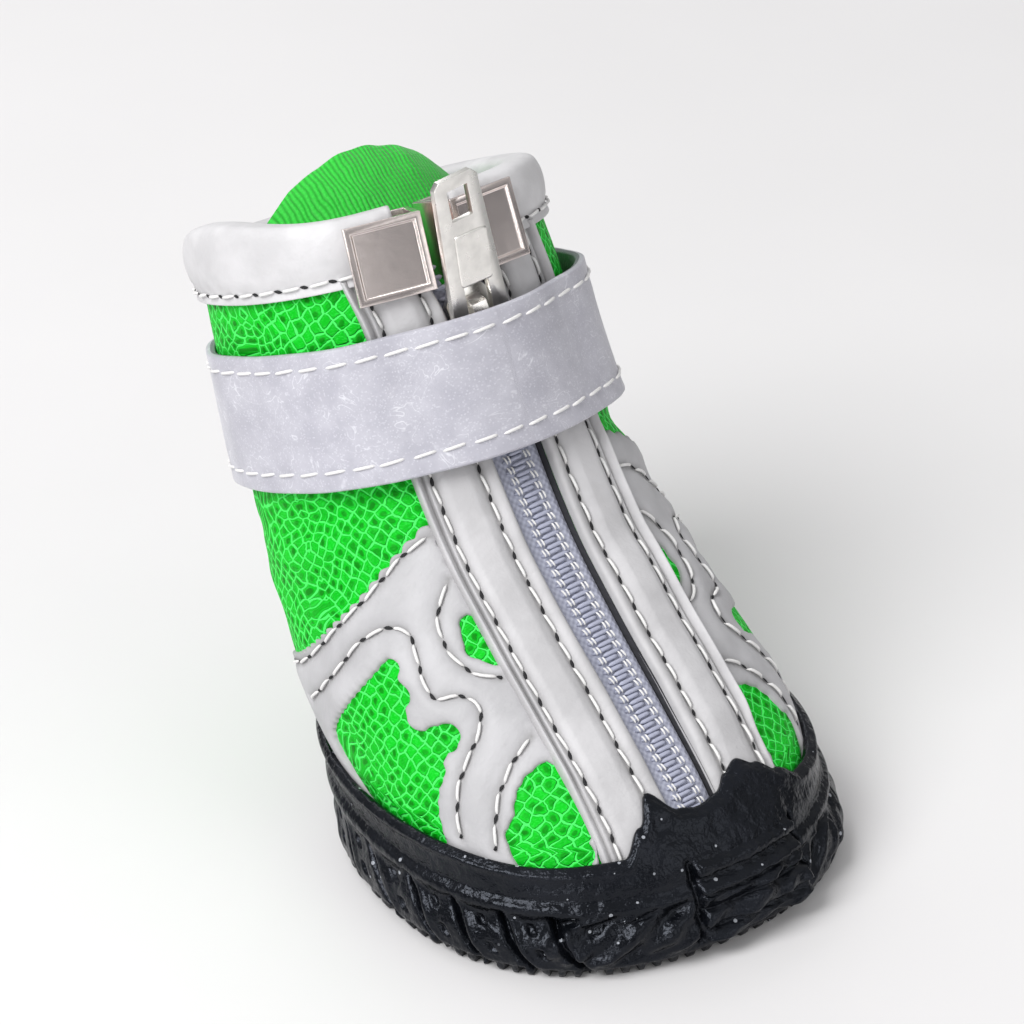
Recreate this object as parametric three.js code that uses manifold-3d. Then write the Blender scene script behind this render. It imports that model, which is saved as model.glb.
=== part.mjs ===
// A zipped dog boot: cup sole, hollow mesh upper, tongue, insole, zip with slider and pull tab,
// two end clips, collar binding and ankle strap.
//
// Frame, in millimetres: X across, the boot's left at +X; -Y to the toe; Z up.
// The origin is the middle of the sole's tread, on the ground.
import * as THREE from "three";
import { mergeVertices } from "three/addons/utils/BufferGeometryUtils.js";
import Module from "manifold-3d";

const wasm = await Module();
wasm.setup();

// ---------------------------------------------------------------- driving dimensions
const GAP = 0.3; // clearance between touching pieces
const CUP_GAP = 0.5; // the same across the sloping walls of the sole's cup
const WALL = 1.6; // mesh, foam and lining of the upper
const SQUARENESS = 2.25; // exponent of every section's outline, where 2 is an ellipse
const SEGMENTS = 56; // points round a section

// The upper's outer surface: one row for each section, cut from the instep to the heel.
// front and back are where it meets the middle plane, egg widens its toe side.
const LAST = [
  { name: "feather", frontY: -25.6, frontZ: 5.0, backY: 26.5, backZ: 5.0, halfWidth: 23.6, egg: 0.05 },
  { name: "rand", frontY: -25.9, frontZ: 11.0, backY: 31.2, backZ: 11.0, halfWidth: 25.2, egg: 0.045 },
  { name: "toe", frontY: -21.6, frontZ: 16.8, backY: 35.4, backZ: 16.2, halfWidth: 25.9, egg: 0.035 },
  { name: "vamp", frontY: -13.4, frontZ: 23.7, backY: 38.8, backZ: 20.6, halfWidth: 25.3, egg: 0.02 },
  { name: "instep", frontY: -4.2, frontZ: 31.0, backY: 42.0, backZ: 25.0, halfWidth: 24.0, egg: 0.01 },
  { name: "throat", frontY: 4.6, frontZ: 39.0, backY: 45.0, backZ: 29.6, halfWidth: 22.7, egg: 0 },
  { name: "strap_low", frontY: 11.6, frontZ: 48.2, backY: 47.8, backZ: 34.8, halfWidth: 21.7, egg: 0 },
  { name: "strap_mid", frontY: 15.9, frontZ: 55.6, backY: 51.7, backZ: 42.5, halfWidth: 21.1, egg: 0 },
  { name: "strap_top", frontY: 19.4, frontZ: 63.0, backY: 54.9, backZ: 49.0, halfWidth: 20.7, egg: 0 },
  { name: "band_low", frontY: 22.0, frontZ: 68.8, backY: 57.6, backZ: 54.4, halfWidth: 20.2, egg: 0 },
  { name: "topline", frontY: 25.0, frontZ: 76.0, backY: 59.6, backZ: 58.8, halfWidth: 19.6, egg: 0 },
];
const ROW = Object.fromEntries(LAST.map((row, i) => [row.name, i / (LAST.length - 1)]));

// Sole
const SOLE = { halfLength: 29.8, halfWidth: 27.4, egg: 0.075, floor: 4.6, plate: 1.4, wall: 1.9 };
const TOE_SPRING = { from: -18, height: 0.7, length: 11.8 };
const HEEL_BEVEL = { from: 23, height: 0.6, length: 6.8 };
// Height of the cup's rim, by the angle from the toe towards the right: notched at the zip's foot, a peak
// on each side of it, low along the sides, and up again round the heel. The toe cap sits a little to the left.
const CUP_RIM = [
  { angle: 0, height: 15.6 },
  { angle: 4, height: 16.0 },
  { angle: 9, height: 18.0 },
  { angle: 14, height: 15.4 },
  { angle: 21, height: 12.8 },
  { angle: 45, height: 12.4 },
  { angle: 75, height: 12.8 },
  { angle: 100, height: 12.4 },
  { angle: 130, height: 12.8 },
  { angle: 180, height: 15.2 },
  { angle: 230, height: 12.8 },
  { angle: 285, height: 12.8 },
  { angle: 315, height: 12.4 },
  { angle: 331, height: 12.9 },
  { angle: 340, height: 15.6 },
  { angle: 348, height: 18.2 },
  { angle: 355, height: 16.2 },
  { angle: 360, height: 15.6 },
];
const TREAD = { teeth: 28, bars: 7, pitch: 5.6, width: 3.4, sweep: 2.4, reach: 0.66, archLift: 0.5 };

// Zip: a recessed chain up to the slider, and one open half on each side above it
const ZIP = { halfWidth: 2.9, depth: 0.7, thick: 1.3, tape: 1.9, low: 0.178, slider: 0.772, high: 0.85 };
const SLOT = { margin: 0.32, flare: 0.7, high: 1.04, drift: -3.2 };
const SLIDER = { length: 9.6, halfWidth: 3.1, turn: 6, plate: 0.8, under: 0.8, neck: 0.55 };
const CROWN = { foot: -2.8, head: 3.6, width: 2.0, sheet: 0.7, eyeFoot: -2.1, eyeHead: 0.2, eyeHeight: 1.5 };
const TAB = { length: 20.6, width: 7.8, tipWidth: 6.2, thick: 0.9, bar: 0.9, lean: 17.5 };
const CLIP = { width: 9.4, height: 9.4, sheet: 0.7, across: 6.1, level: 0.925 };

// Collar binding and strap
const BINDING = { outer: 1.0, inner: 1.0, low: ROW.band_low, fold: 0.965 };
const STRAP = { thick: 1.1, low: ROW.strap_low, high: ROW.strap_top };
// How far the inner face of its lower and upper edges stands off the upper, by the angle from the toe
// towards the right.
const STRAP_STANDOFF = [
  { angle: 0, low: 3.4, high: 4.2 },
  { angle: 30, low: 2.0, high: 2.0 },
  { angle: 75, low: 0.7, high: 0.5 },
  { angle: 125, low: 0.6, high: 0.4 },
  { angle: 180, low: 0.8, high: 0.7 },
  { angle: 228, low: 2.4, high: 2.2 },
  { angle: 285, low: 1.2, high: 1.5 },
  { angle: 330, low: 1.9, high: 2.5 },
  { angle: 360, low: 3.4, high: 4.2 },
];

// Tongue: one row for each cross-section, up its front face
const TONGUE = [
  { name: "toe", y: -9.2, z: 20.4, halfWidth: 7.5, thick: 2.0 },
  { name: "instep", y: 1.6, z: 29.6, halfWidth: 10.5, thick: 2.4 },
  { name: "throat", y: 11.4, z: 39.6, halfWidth: 12.5, thick: 2.6 },
  { name: "strap", y: 19.0, z: 51.4, halfWidth: 13.4, thick: 2.8 },
  { name: "slider", y: 25.4, z: 60.4, halfWidth: 14.0, thick: 3.0 },
  { name: "collar", y: 32.6, z: 67.0, halfWidth: 14.2, thick: 3.2 },
  { name: "crown", y: 37.4, z: 70.6, halfWidth: 13.2, thick: 3.2 },
  { name: "fold", y: 40.6, z: 72.4, halfWidth: 10.6, thick: 2.8 },
  { name: "top", y: 42.4, z: 73.2, halfWidth: 7.0, thick: 1.8 },
];
const TONGUE_RADIUS = 18;

// ---------------------------------------------------------------- curves
const radians = THREE.MathUtils.degToRad;
const spread = (from, to, count) => Array.from({ length: count }, (_, i) => from + ((to - from) * i) / (count - 1));

// A column of a table at t, from 0 on its first row to 1 on its last, on a Catmull-Rom curve.
function column(table, key, t) {
  const last = table.length - 1;
  const place = THREE.MathUtils.clamp(t, 0, 1) * last;
  const i = Math.min(Math.floor(place), last - 1);
  const u = place - i;
  const at = (k) => table[THREE.MathUtils.clamp(k, 0, last)][key];
  const [a, b, c, d] = [at(i - 1), at(i), at(i + 1), at(i + 2)];
  return b + 0.5 * u * (c - a + u * (2 * a - 5 * b + 4 * c - d + u * (3 * (b - c) + d - a)));
}

// A value at an angle, in a table whose angles needn't be even, with an eased step between rows.
function atAngle(table, key, angle) {
  const i = table.findIndex((row, k) => k + 1 === table.length - 1 || angle <= table[k + 1].angle);
  const [from, to] = [table[i], table[i + 1]];
  const u = (angle - from.angle) / (to.angle - from.angle);
  return THREE.MathUtils.lerp(from[key], to[key], u * u * (3 - 2 * u));
}

const power = (value) => Math.sign(value) * Math.abs(value) ** (2 / SQUARENESS);

// A point of the upper's surface moved out by an offset: level 0 to 1, turn 0 at the toe, right side first.
function lastPoint(level, turn, offset) {
  const front = new THREE.Vector2(column(LAST, "frontY", level), column(LAST, "frontZ", level));
  const back = new THREE.Vector2(column(LAST, "backY", level), column(LAST, "backZ", level));
  const centre = front.clone().add(back).multiplyScalar(0.5);
  const half = front.clone().sub(back).multiplyScalar(0.5);
  half.setLength(half.length() + offset);
  const ahead = power(Math.cos(turn));
  const aside = -power(Math.sin(turn)) * (1 + column(LAST, "egg", level) * ahead);
  return new THREE.Vector3(
    aside * (column(LAST, "halfWidth", level) + offset),
    centre.x + half.x * ahead,
    centre.y + half.y * ahead,
  );
}

const turns = Array.from({ length: SEGMENTS }, (_, i) => (i * 2 * Math.PI) / SEGMENTS);
const lastRing = (level, offset) => turns.map((turn) => lastPoint(level, turn, offset));

// The level at which the offset surface reaches a height at one turn.
function levelAt(height, turn, offset) {
  let [low, high] = [0, 1];
  for (let i = 0; i < 24; i++) {
    const middle = (low + high) / 2;
    if (lastPoint(middle, turn, offset).z < height) low = middle;
    else high = middle;
  }
  return low;
}

// The front line of the upper at a level: its point, the way up along it and the way out of it.
// Above level 1 it goes straight on.
function frontLine(level) {
  const held = Math.min(level, 1);
  const point = lastPoint(held, 0, 0);
  const step = lastPoint(Math.min(held + 0.01, 1), 0, 0).sub(lastPoint(held - 0.01, 0, 0));
  const up = step.clone().normalize();
  point.addScaledVector(step, (level - held) / 0.01);
  const out = new THREE.Vector3(0, -up.z, up.y);
  return { point, up, out };
}

// ---------------------------------------------------------------- solids
// Joins rings of equal count into one closed surface, capped at both ends or closed on itself.
function skin(rings, { capped = true } = {}) {
  const count = rings[0].length;
  const points = rings.flat();
  const faces = [];
  const bands = capped ? rings.length - 1 : rings.length;
  for (let r = 0; r < bands; r++) {
    const [here, next] = [r * count, ((r + 1) % rings.length) * count];
    for (let i = 0; i < count; i++) {
      const j = (i + 1) % count;
      faces.push(here + i, here + j, next + j, here + i, next + j, next + i);
    }
  }
  if (capped) {
    for (const [ring, start, flip] of [
      [rings[0], 0, true],
      [rings.at(-1), (rings.length - 1) * count, false],
    ]) {
      const middle = ring.reduce((sum, p) => sum.add(p), new THREE.Vector3()).divideScalar(count);
      points.push(middle);
      for (let i = 0; i < count; i++) {
        const [a, b] = [start + i, start + ((i + 1) % count)];
        faces.push(...(flip ? [b, a] : [a, b]), points.length - 1);
      }
    }
  }
  const geometry = new THREE.BufferGeometry().setFromPoints(points);
  geometry.setIndex(faces);
  return signedVolume(geometry) < 0 ? turnedOut(geometry) : geometry;
}

function signedVolume(geometry) {
  const position = geometry.getAttribute("position");
  const corner = [new THREE.Vector3(), new THREE.Vector3(), new THREE.Vector3()];
  let sum = 0;
  for (let i = 0; i < geometry.index.count; i += 3) {
    corner.forEach((p, k) => p.fromBufferAttribute(position, geometry.index.getX(i + k)));
    sum += corner[0].dot(corner[1].clone().cross(corner[2])) / 6;
  }
  return sum;
}

function turnedOut(geometry) {
  const index = Array.from(geometry.index.array);
  for (let i = 0; i < index.length; i += 3) [index[i + 1], index[i + 2]] = [index[i + 2], index[i + 1]];
  return geometry.setIndex(index);
}

function solid(geometry) {
  const bare = new THREE.BufferGeometry().setAttribute("position", geometry.getAttribute("position").clone());
  if (geometry.index) bare.setIndex(geometry.index.clone());
  const merged = mergeVertices(bare, 1e-4);
  const shape = { numProp: 3, vertProperties: merged.attributes.position.array };
  return new wasm.Manifold(new wasm.Mesh({ ...shape, triVerts: new Uint32Array(merged.index.array) }));
}

function fromSolid(body) {
  const mesh = body.getMesh();
  return new THREE.BufferGeometry()
    .setAttribute("position", new THREE.BufferAttribute(new Float32Array(mesh.vertProperties), 3))
    .setIndex(new THREE.BufferAttribute(new Uint32Array(mesh.triVerts), 1));
}

const joined = (...parts) => fromSolid(parts.map(solid).reduce((sum, part) => sum.add(part)));
const cut = (body, ...tools) => fromSolid(tools.map(solid).reduce((sum, tool) => sum.subtract(tool), solid(body)));

function slab(outline, thick) {
  const shape = new THREE.Shape(outline.map(([x, y]) => new THREE.Vector2(x, y)));
  return new THREE.ExtrudeGeometry(shape, { depth: thick, bevelEnabled: false });
}

// How far the open top of the zip pulls towards the boot's right.
const drift = (level) => SLOT.drift * THREE.MathUtils.smoothstep(level, ZIP.slider, 1);

// A strip along the front line: its cross-section is a box from left to right, and from top down.
function frontStrip(levels, left, right, top, bottom) {
  return skin(
    levels.map((level, i) => {
      const { point, out } = frontLine(level);
      point.x += drift(level);
      const u = i / (levels.length - 1);
      const [x0, x1] = [left(u), right(u)];
      return [
        [x0, top],
        [x1, top],
        [x1, bottom],
        [x0, bottom],
      ].map(([x, height]) => point.clone().addScaledVector(out, height).add(new THREE.Vector3(x, 0, 0)));
    }),
  );
}

// ---------------------------------------------------------------- sole
const soleSpring = (y) => {
  const toe = Math.max(0, (TOE_SPRING.from - y) / TOE_SPRING.length);
  const heel = Math.max(0, (y - HEEL_BEVEL.from) / HEEL_BEVEL.length);
  return TOE_SPRING.height * toe * toe + HEEL_BEVEL.height * heel * heel;
};

// A ring of the sole's own outline, with tread teeth where tooth is above 0.
function soleRing(inset, height, tooth = 0) {
  return turns.map((turn, i) => {
    const ahead = power(Math.cos(turn));
    const y = -(SOLE.halfLength - inset) * ahead;
    const x = -(SOLE.halfWidth - inset) * power(Math.sin(turn)) * (1 + SOLE.egg * ahead);
    const raised = i % (SEGMENTS / TREAD.teeth) ? tooth : 0;
    return new THREE.Vector3(x, y, height + raised + soleSpring(y));
  });
}

// A ring of the cup, which follows the upper: 0 at the feather line, 1 at the rim.
function cupRing(part, offset) {
  return turns.map((turn) => {
    const rim = levelAt(atAngle(CUP_RIM, "height", THREE.MathUtils.radToDeg(turn)), turn, offset);
    return lastPoint(THREE.MathUtils.lerp(0, rim, part), turn, offset);
  });
}

function makeOutsole() {
  const toothed = [soleRing(9, SOLE.plate), soleRing(6.4, SOLE.plate), soleRing(5.2, 0), soleRing(1.0, 0, 1.1)];
  const wall = [soleRing(0.2, 1.2, 0.5), soleRing(0, 2.8), soleRing(0.1, 4.4)];
  const parts = [0.25, 0.5, 0.75, 1];
  const outer = parts.map((part) => cupRing(part, CUP_GAP + SOLE.wall * (1.3 - 0.75 * part)));
  const inner = parts.toReversed().map((part) => cupRing(part, CUP_GAP));
  const floor = lastRing(0, CUP_GAP).map((p) => p.setZ(SOLE.floor));
  const cup = skin([...toothed, ...wall, ...outer, ...inner, floor]);
  const bars = spread(-3, 3, TREAD.bars).map((i) => i * TREAD.pitch).map(treadBar);
  return joined(cup, ...bars);
}

// One swept bar of the tread, its lower face flat and level.
function treadBar(y) {
  const reach = TREAD.reach * SOLE.halfWidth * Math.sqrt(Math.max(0.12, 1 - (y / (SOLE.halfLength - 6)) ** 2));
  const half = TREAD.width / 2;
  const arched = y > 2 && y < 14 ? TREAD.archLift : 0;
  const outline = [
    [-reach, y - half + TREAD.sweep],
    [0, y - half],
    [reach, y - half + TREAD.sweep],
    [reach, y + half + TREAD.sweep],
    [0, y + half],
    [-reach, y + half + TREAD.sweep],
  ];
  return slab(outline, SOLE.plate + 0.9 - arched).translate(0, 0, arched);
}

// ---------------------------------------------------------------- soft pieces
const slot = () =>
  frontStrip(
    spread(ZIP.low - 0.012, SLOT.high, 14),
    (u) => -(ZIP.halfWidth + SLOT.margin + SLOT.flare * u),
    (u) => ZIP.halfWidth + SLOT.margin + SLOT.flare * u,
    5,
    -6,
  );

function makeUpper() {
  const levels = spread(0, BINDING.fold, 17);
  const outer = levels.map((level) => lastRing(level, 0));
  const inner = levels.toReversed().map((level) => lastRing(level, -WALL));
  return cut(skin([...outer, ...inner], { capped: false }), slot());
}

// A folded leather edge round the top of the upper: outside leg, rolled top, inside leg.
function makeBinding() {
  const inside = -WALL - GAP;
  const profile = [
    [BINDING.low, GAP],
    [BINDING.low, BINDING.outer],
    [0.95, BINDING.outer + 0.2],
    [0.988, BINDING.outer - 0.1],
    [1, 0.2],
    [1, inside],
    [0.988, inside - BINDING.inner],
    [BINDING.low, inside - BINDING.inner],
    [BINDING.low, inside],
    [BINDING.fold + 0.008, inside],
    [BINDING.fold + 0.008, GAP],
  ];
  return cut(skin(profile.map(([level, offset]) => lastRing(level, offset)), { capped: false }), slot());
}

function makeInsole() {
  const edge = (offset, z) => lastRing(0, offset - WALL).map((p) => p.setZ(z));
  return skin([edge(-0.6, SOLE.floor + GAP), edge(-0.5, SOLE.floor + 1.2), edge(-1.0, SOLE.floor + 2.0)]);
}

function makeTongue() {
  const across = spread(-1, 1, 13);
  const rows = spread(0, 1, 17).map((t) => {
    const at = (key, u) => column(TONGUE, key, u);
    const middle = new THREE.Vector3(0, at("y", t), at("z", t));
    const [ahead, behind] = [Math.min(t + 0.01, 1), Math.max(t - 0.01, 0)];
    const up = new THREE.Vector3(0, at("y", ahead) - at("y", behind), at("z", ahead) - at("z", behind)).normalize();
    const inward = new THREE.Vector3(0, up.z, -up.y);
    const half = at("halfWidth", t);
    const face = (side, depth, s) => {
      const x = s * (half - depth * 0.2);
      const round = side * at("thick", t) * 0.5 * (1 - s ** 4);
      const back = at("thick", t) * 0.5 + x ** 2 / (2 * TONGUE_RADIUS) + round;
      return middle.clone().addScaledVector(inward, back).add(new THREE.Vector3(x, 0, 0));
    };
    const front = across.map((s) => face(-1, 0, s));
    const rear = across.slice(1, -1).toReversed().map((s) => face(1, 1, s));
    return [...front, ...rear];
  });
  return skin(rows);
}

function makeStrap() {
  const band = (part, out) =>
    turns.map((turn) => {
      const stand = (edge) => atAngle(STRAP_STANDOFF, edge, THREE.MathUtils.radToDeg(turn));
      const offset = THREE.MathUtils.lerp(stand("low"), stand("high"), part) + out;
      return lastPoint(THREE.MathUtils.lerp(STRAP.low, STRAP.high, part), turn, offset);
    });
  const parts = spread(0, 1, 3);
  const inner = parts.map((part) => band(part, 0));
  const outer = parts.toReversed().map((part) => band(part, STRAP.thick));
  return skin([...inner, ...outer], { capped: false });
}

// ---------------------------------------------------------------- zip
function makeZip() {
  const [top, bottom] = [-ZIP.depth, -ZIP.depth - ZIP.thick];
  const edge = (level) => ZIP.halfWidth + SLOT.flare * ((level - ZIP.low) / (SLOT.high - ZIP.low));
  const closed = spread(ZIP.low, ZIP.slider, 12);
  const open = spread(ZIP.slider - 0.01, ZIP.high, 4);
  const at = (levels, u) => THREE.MathUtils.lerp(levels[0], levels.at(-1), u);
  const chain = frontStrip(closed, (u) => -edge(at(closed, u)), (u) => edge(at(closed, u)), top, bottom);
  const half = (side) =>
    frontStrip(
      open,
      (u) => side * edge(at(open, u)),
      (u) => side * (edge(at(open, u)) - ZIP.tape),
      top,
      bottom,
    );
  return joined(chain, half(-1), half(1));
}

// The slider's own frame: X across, Y up the zip, Z out of it, from the chain's face. It's turned a little
// with the pull of the open top.
const sliderPlace = (() => {
  const { point, up, out } = frontLine(ZIP.slider);
  const basis = new THREE.Matrix4().makeBasis(new THREE.Vector3(1, 0, 0), up, out);
  basis.setPosition(point.clone().addScaledVector(out, -ZIP.depth));
  return basis.multiply(new THREE.Matrix4().makeRotationZ(radians(SLIDER.turn)));
})();

function makeSlider() {
  const { length, halfWidth, plate, under, neck } = SLIDER;
  const foot = -length * 0.45;
  const head = length + foot;
  const outline = [
    [-halfWidth * 0.8, foot],
    [halfWidth * 0.8, foot],
    [halfWidth, foot + 3],
    [halfWidth, head - 2],
    [halfWidth * 0.55, head],
    [-halfWidth * 0.55, head],
    [-halfWidth, head - 2],
    [-halfWidth, foot + 3],
  ];
  const outside = slab(outline, plate).translate(0, 0, GAP);
  const inside = slab(
    outline.map(([x, y]) => [x * 0.78, y]),
    under,
  ).translate(0, 0, -ZIP.thick - GAP - under);
  const post = new THREE.BoxGeometry(neck * 2, 2.6, ZIP.thick + GAP * 2 + 0.4).translate(0, 2.4, -ZIP.thick / 2);
  const top = CROWN.eyeHeight + CROWN.sheet;
  const profile = [
    [CROWN.foot, 0],
    [CROWN.foot + 0.3, top],
    [CROWN.head - 1, top],
    [CROWN.head, top - 1],
    [CROWN.head, 0],
    [CROWN.eyeHead, 0],
    [CROWN.eyeHead, CROWN.eyeHeight],
    [CROWN.eyeFoot, CROWN.eyeHeight],
    [CROWN.eyeFoot, 0],
  ];
  const arch = slab(profile, CROWN.width).applyMatrix4(
    new THREE.Matrix4().makeBasis(new THREE.Vector3(0, 1, 0), new THREE.Vector3(0, 0, 1), new THREE.Vector3(1, 0, 0)),
  );
  arch.translate(-CROWN.width / 2, 0, GAP + plate - 0.05);
  return joined(outside, inside, post, arch);
}

// The tab hangs on a bar through the slider's arch, and stands up beside the shaft.
const TAB_PIVOT = new THREE.Vector3(
  0,
  (CROWN.eyeFoot + CROWN.eyeHead) / 2,
  GAP + SLIDER.plate + CROWN.eyeHeight / 2,
);

function makeTab() {
  const { length, width, tipWidth, thick, bar } = TAB;
  const half = width / 2;
  const tip = tipWidth / 2;
  const end = length - bar / 2;
  const shape = new THREE.Shape([
    new THREE.Vector2(-half, -bar / 2),
    new THREE.Vector2(half, -bar / 2),
    new THREE.Vector2(half, 2),
    new THREE.Vector2(tip, end - 0.8),
    new THREE.Vector2(tip - 0.8, end),
    new THREE.Vector2(-tip + 0.8, end),
    new THREE.Vector2(-tip, end - 0.8),
    new THREE.Vector2(-half, 2),
  ]);
  const arch = new THREE.Path();
  arch.moveTo(-1.75, bar / 2);
  arch.lineTo(1.75, bar / 2);
  arch.lineTo(1.75, 6.6);
  arch.absarc(0, 6.6, 1.75, 0, Math.PI, false);
  const windowFoot = end - 5.4;
  const windowHole = new THREE.Path(
    [
      [-1.5, windowFoot],
      [1.5, windowFoot],
      [1.5, end - 1.5],
      [-1.5, end - 1.5],
    ].map(([x, y]) => new THREE.Vector2(x, y)),
  );
  shape.holes.push(arch, windowHole);
  return new THREE.ExtrudeGeometry(shape, { depth: thick, bevelEnabled: false, curveSegments: 5 }).translate(
    0,
    0,
    -thick / 2,
  );
}

// A sheet-metal clamp folded round the collar's front edge.
function makeClip(side) {
  const { width, height, sheet } = CLIP;
  const outer = BINDING.outer + 0.2 + GAP + 0.3;
  const inner = -WALL - GAP - BINDING.inner - GAP - 0.9;
  const [near, far] = [-width / 2, width / 2];
  const outline = [
    [near, inner - sheet],
    [far, inner - sheet],
    [far, inner],
    [near + sheet, inner],
    [near + sheet, outer],
    [far, outer],
    [far, outer + sheet],
    [near, outer + sheet],
  ].map(([x, y]) => [side * x, y]);
  if (side > 0) outline.reverse();
  const geometry = slab(outline, height).applyMatrix4(
    new THREE.Matrix4().makeBasis(new THREE.Vector3(1, 0, 0), new THREE.Vector3(0, 0, 1), new THREE.Vector3(0, -1, 0)),
  );
  return geometry.translate(0, height / 2, 0);
}

// Where a clip sits: X across, Y up the shaft, Z out of it.
function clipPlace(side) {
  const ringAt = (turn, level) => lastPoint(level, turn, 0);
  const across = side * CLIP.across + drift(CLIP.level);
  const sine = Math.abs(across / column(LAST, "halfWidth", CLIP.level)) ** (SQUARENESS / 2);
  const turn = -side * Math.asin(sine);
  const point = ringAt(turn, CLIP.level);
  const up = ringAt(turn, CLIP.level + 0.02).sub(ringAt(turn, CLIP.level - 0.02)).normalize();
  const along = ringAt(turn - 0.05, CLIP.level).sub(ringAt(turn + 0.05, CLIP.level));
  along.addScaledVector(up, -along.dot(up)).normalize();
  return new THREE.Matrix4().makeBasis(along, up, along.clone().cross(up)).setPosition(point);
}

// ---------------------------------------------------------------- assembly
const LOOK = {
  rubber: { color: 0x17181b, roughness: 0.5, metalness: 0 },
  mesh: { color: 0x16d83a, roughness: 0.85, metalness: 0 },
  leatherette: { color: 0xc2c1c0, roughness: 0.5, metalness: 0 },
  knit: { color: 0x0fcf2b, roughness: 0.9, metalness: 0 },
  reflective: { color: 0xb4b3bd, roughness: 0.45, metalness: 0 },
  coil: { color: 0xa9adc0, roughness: 0.6, metalness: 0 },
  nickel: { color: 0xcfcac2, roughness: 0.25, metalness: 1 },
  lining: { color: 0x2c2d30, roughness: 0.9, metalness: 0 },
};

function piece(name, geometry, look) {
  const mesh = new THREE.Mesh(geometry, new THREE.MeshStandardMaterial(LOOK[look]));
  mesh.name = name;
  return mesh;
}

function placed(matrix, ...pieces) {
  const group = new THREE.Group();
  group.applyMatrix4(matrix);
  group.add(...pieces);
  return group;
}

const boot = new THREE.Group();
boot.add(
  piece("outsole", makeOutsole(), "rubber"),
  piece("upper", makeUpper(), "mesh"),
  piece("collar_binding", makeBinding(), "leatherette"),
  piece("insole", makeInsole(), "lining"),
  piece("tongue", makeTongue(), "knit"),
  piece("strap", makeStrap(), "reflective"),
  piece("zip_chain", makeZip(), "coil"),
);

const pullTab = piece("pull_tab", makeTab(), "nickel");
pullTab.position.copy(TAB_PIVOT);
pullTab.rotation.x = radians(TAB.lean);
boot.add(placed(sliderPlace, piece("zip_slider", makeSlider(), "nickel"), pullTab));

for (const [name, side] of [
  ["end_clip_right", -1],
  ["end_clip_left", 1],
])
  boot.add(placed(clipPlace(side), piece(name, makeClip(side), "nickel")));

export default boot;
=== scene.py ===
"""Looks of a zipped dog boot: cup sole, mesh upper with sewn overlays, zip, strap, collar and tongue.

Shapes are worked out in millimetres in the CAD frame: X across, -Y to the toe, Z up.
"""

import math
import random
from functools import partialmethod
from types import SimpleNamespace as Sizes

import bmesh
import bpy
import numpy as np
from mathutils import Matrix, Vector
from mathutils.geometry import delaunay_2d_cdt
from mathutils.kdtree import KDTree


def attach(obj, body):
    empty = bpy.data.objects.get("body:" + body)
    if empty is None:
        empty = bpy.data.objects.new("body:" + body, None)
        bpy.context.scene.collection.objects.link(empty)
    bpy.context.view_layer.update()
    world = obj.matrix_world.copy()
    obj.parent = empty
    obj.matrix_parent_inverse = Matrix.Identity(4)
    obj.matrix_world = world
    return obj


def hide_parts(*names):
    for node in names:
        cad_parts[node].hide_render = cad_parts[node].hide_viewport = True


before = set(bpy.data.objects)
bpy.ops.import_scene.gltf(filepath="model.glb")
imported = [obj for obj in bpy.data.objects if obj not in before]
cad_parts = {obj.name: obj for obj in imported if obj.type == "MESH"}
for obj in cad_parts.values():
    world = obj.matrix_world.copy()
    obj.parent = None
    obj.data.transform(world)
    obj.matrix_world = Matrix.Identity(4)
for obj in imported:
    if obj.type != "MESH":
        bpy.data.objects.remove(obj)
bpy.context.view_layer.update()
MM = 0.001
BODY = "boot"
TAB_BODY = "pull_tab"

# ---------------------------------------------------------------- driving dimensions, as in the CAD
SQUARENESS = 2.25
WALL = 1.6
CUP_GAP = 0.5
# front_y, front_z, back_y, back_z, half_width, egg, at eleven even levels from the sole to the topline
LAST = np.array([
    (-25.6, 5.0, 26.5, 5.0, 23.6, 0.05),
    (-25.9, 11.0, 31.2, 11.0, 25.2, 0.045),
    (-21.6, 16.8, 35.4, 16.2, 25.9, 0.035),
    (-13.4, 23.7, 38.8, 20.6, 25.3, 0.02),
    (-4.2, 31.0, 42.0, 25.0, 24.0, 0.01),
    (4.6, 39.0, 45.0, 29.6, 22.7, 0.0),
    (11.6, 48.2, 47.8, 34.8, 21.7, 0.0),
    (15.9, 55.6, 51.7, 42.5, 21.1, 0.0),
    (19.4, 63.0, 54.9, 49.0, 20.7, 0.0),
    (22.0, 68.8, 57.6, 54.4, 20.2, 0.0),
    (25.0, 76.0, 59.6, 58.8, 19.6, 0.0),
])

SOLE = Sizes(half_length=29.8, half_width=27.4, egg=0.075, floor=4.6, plate=1.4, wall=1.9)
TOE_SPRING = Sizes(start=-18, height=0.7, length=11.8)
HEEL_BEVEL = Sizes(start=23, height=0.6, length=6.8)
# angle from the toe towards the right, height of the cup's rim
CUP_RIM = np.array([
    (0, 15.6), (4, 16.0), (9, 18.0), (14, 15.4), (21, 12.8), (45, 12.4), (75, 12.8), (100, 12.4), (130, 12.8),
    (180, 15.2), (230, 12.8), (285, 12.8), (315, 12.5), (328, 13.2), (336, 15.0), (342, 16.6),
    (347, 17.7), (351, 17.1), (355, 16.0), (360, 15.6),
])

ZIP = Sizes(half_width=2.9, depth=0.7, low=0.155, slider=0.772, high=0.85)
SLOT = Sizes(margin=0.32, flare=0.7, high=1.04, drift=-3.2)
BINDING_LOW = 0.9
STRAP = Sizes(thick=1.1, low=0.6, high=0.8)
# angle, stand-off of the strap's lower edge, of its upper edge
STRAP_STANDOFF = np.array([
    (0, 3.4, 4.2), (30, 2.0, 2.0), (75, 0.7, 0.5), (125, 0.6, 0.4), (180, 0.8, 0.7), (228, 2.4, 2.2),
    (285, 1.2, 1.5), (330, 1.9, 2.5), (360, 3.4, 4.2),
])
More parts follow.
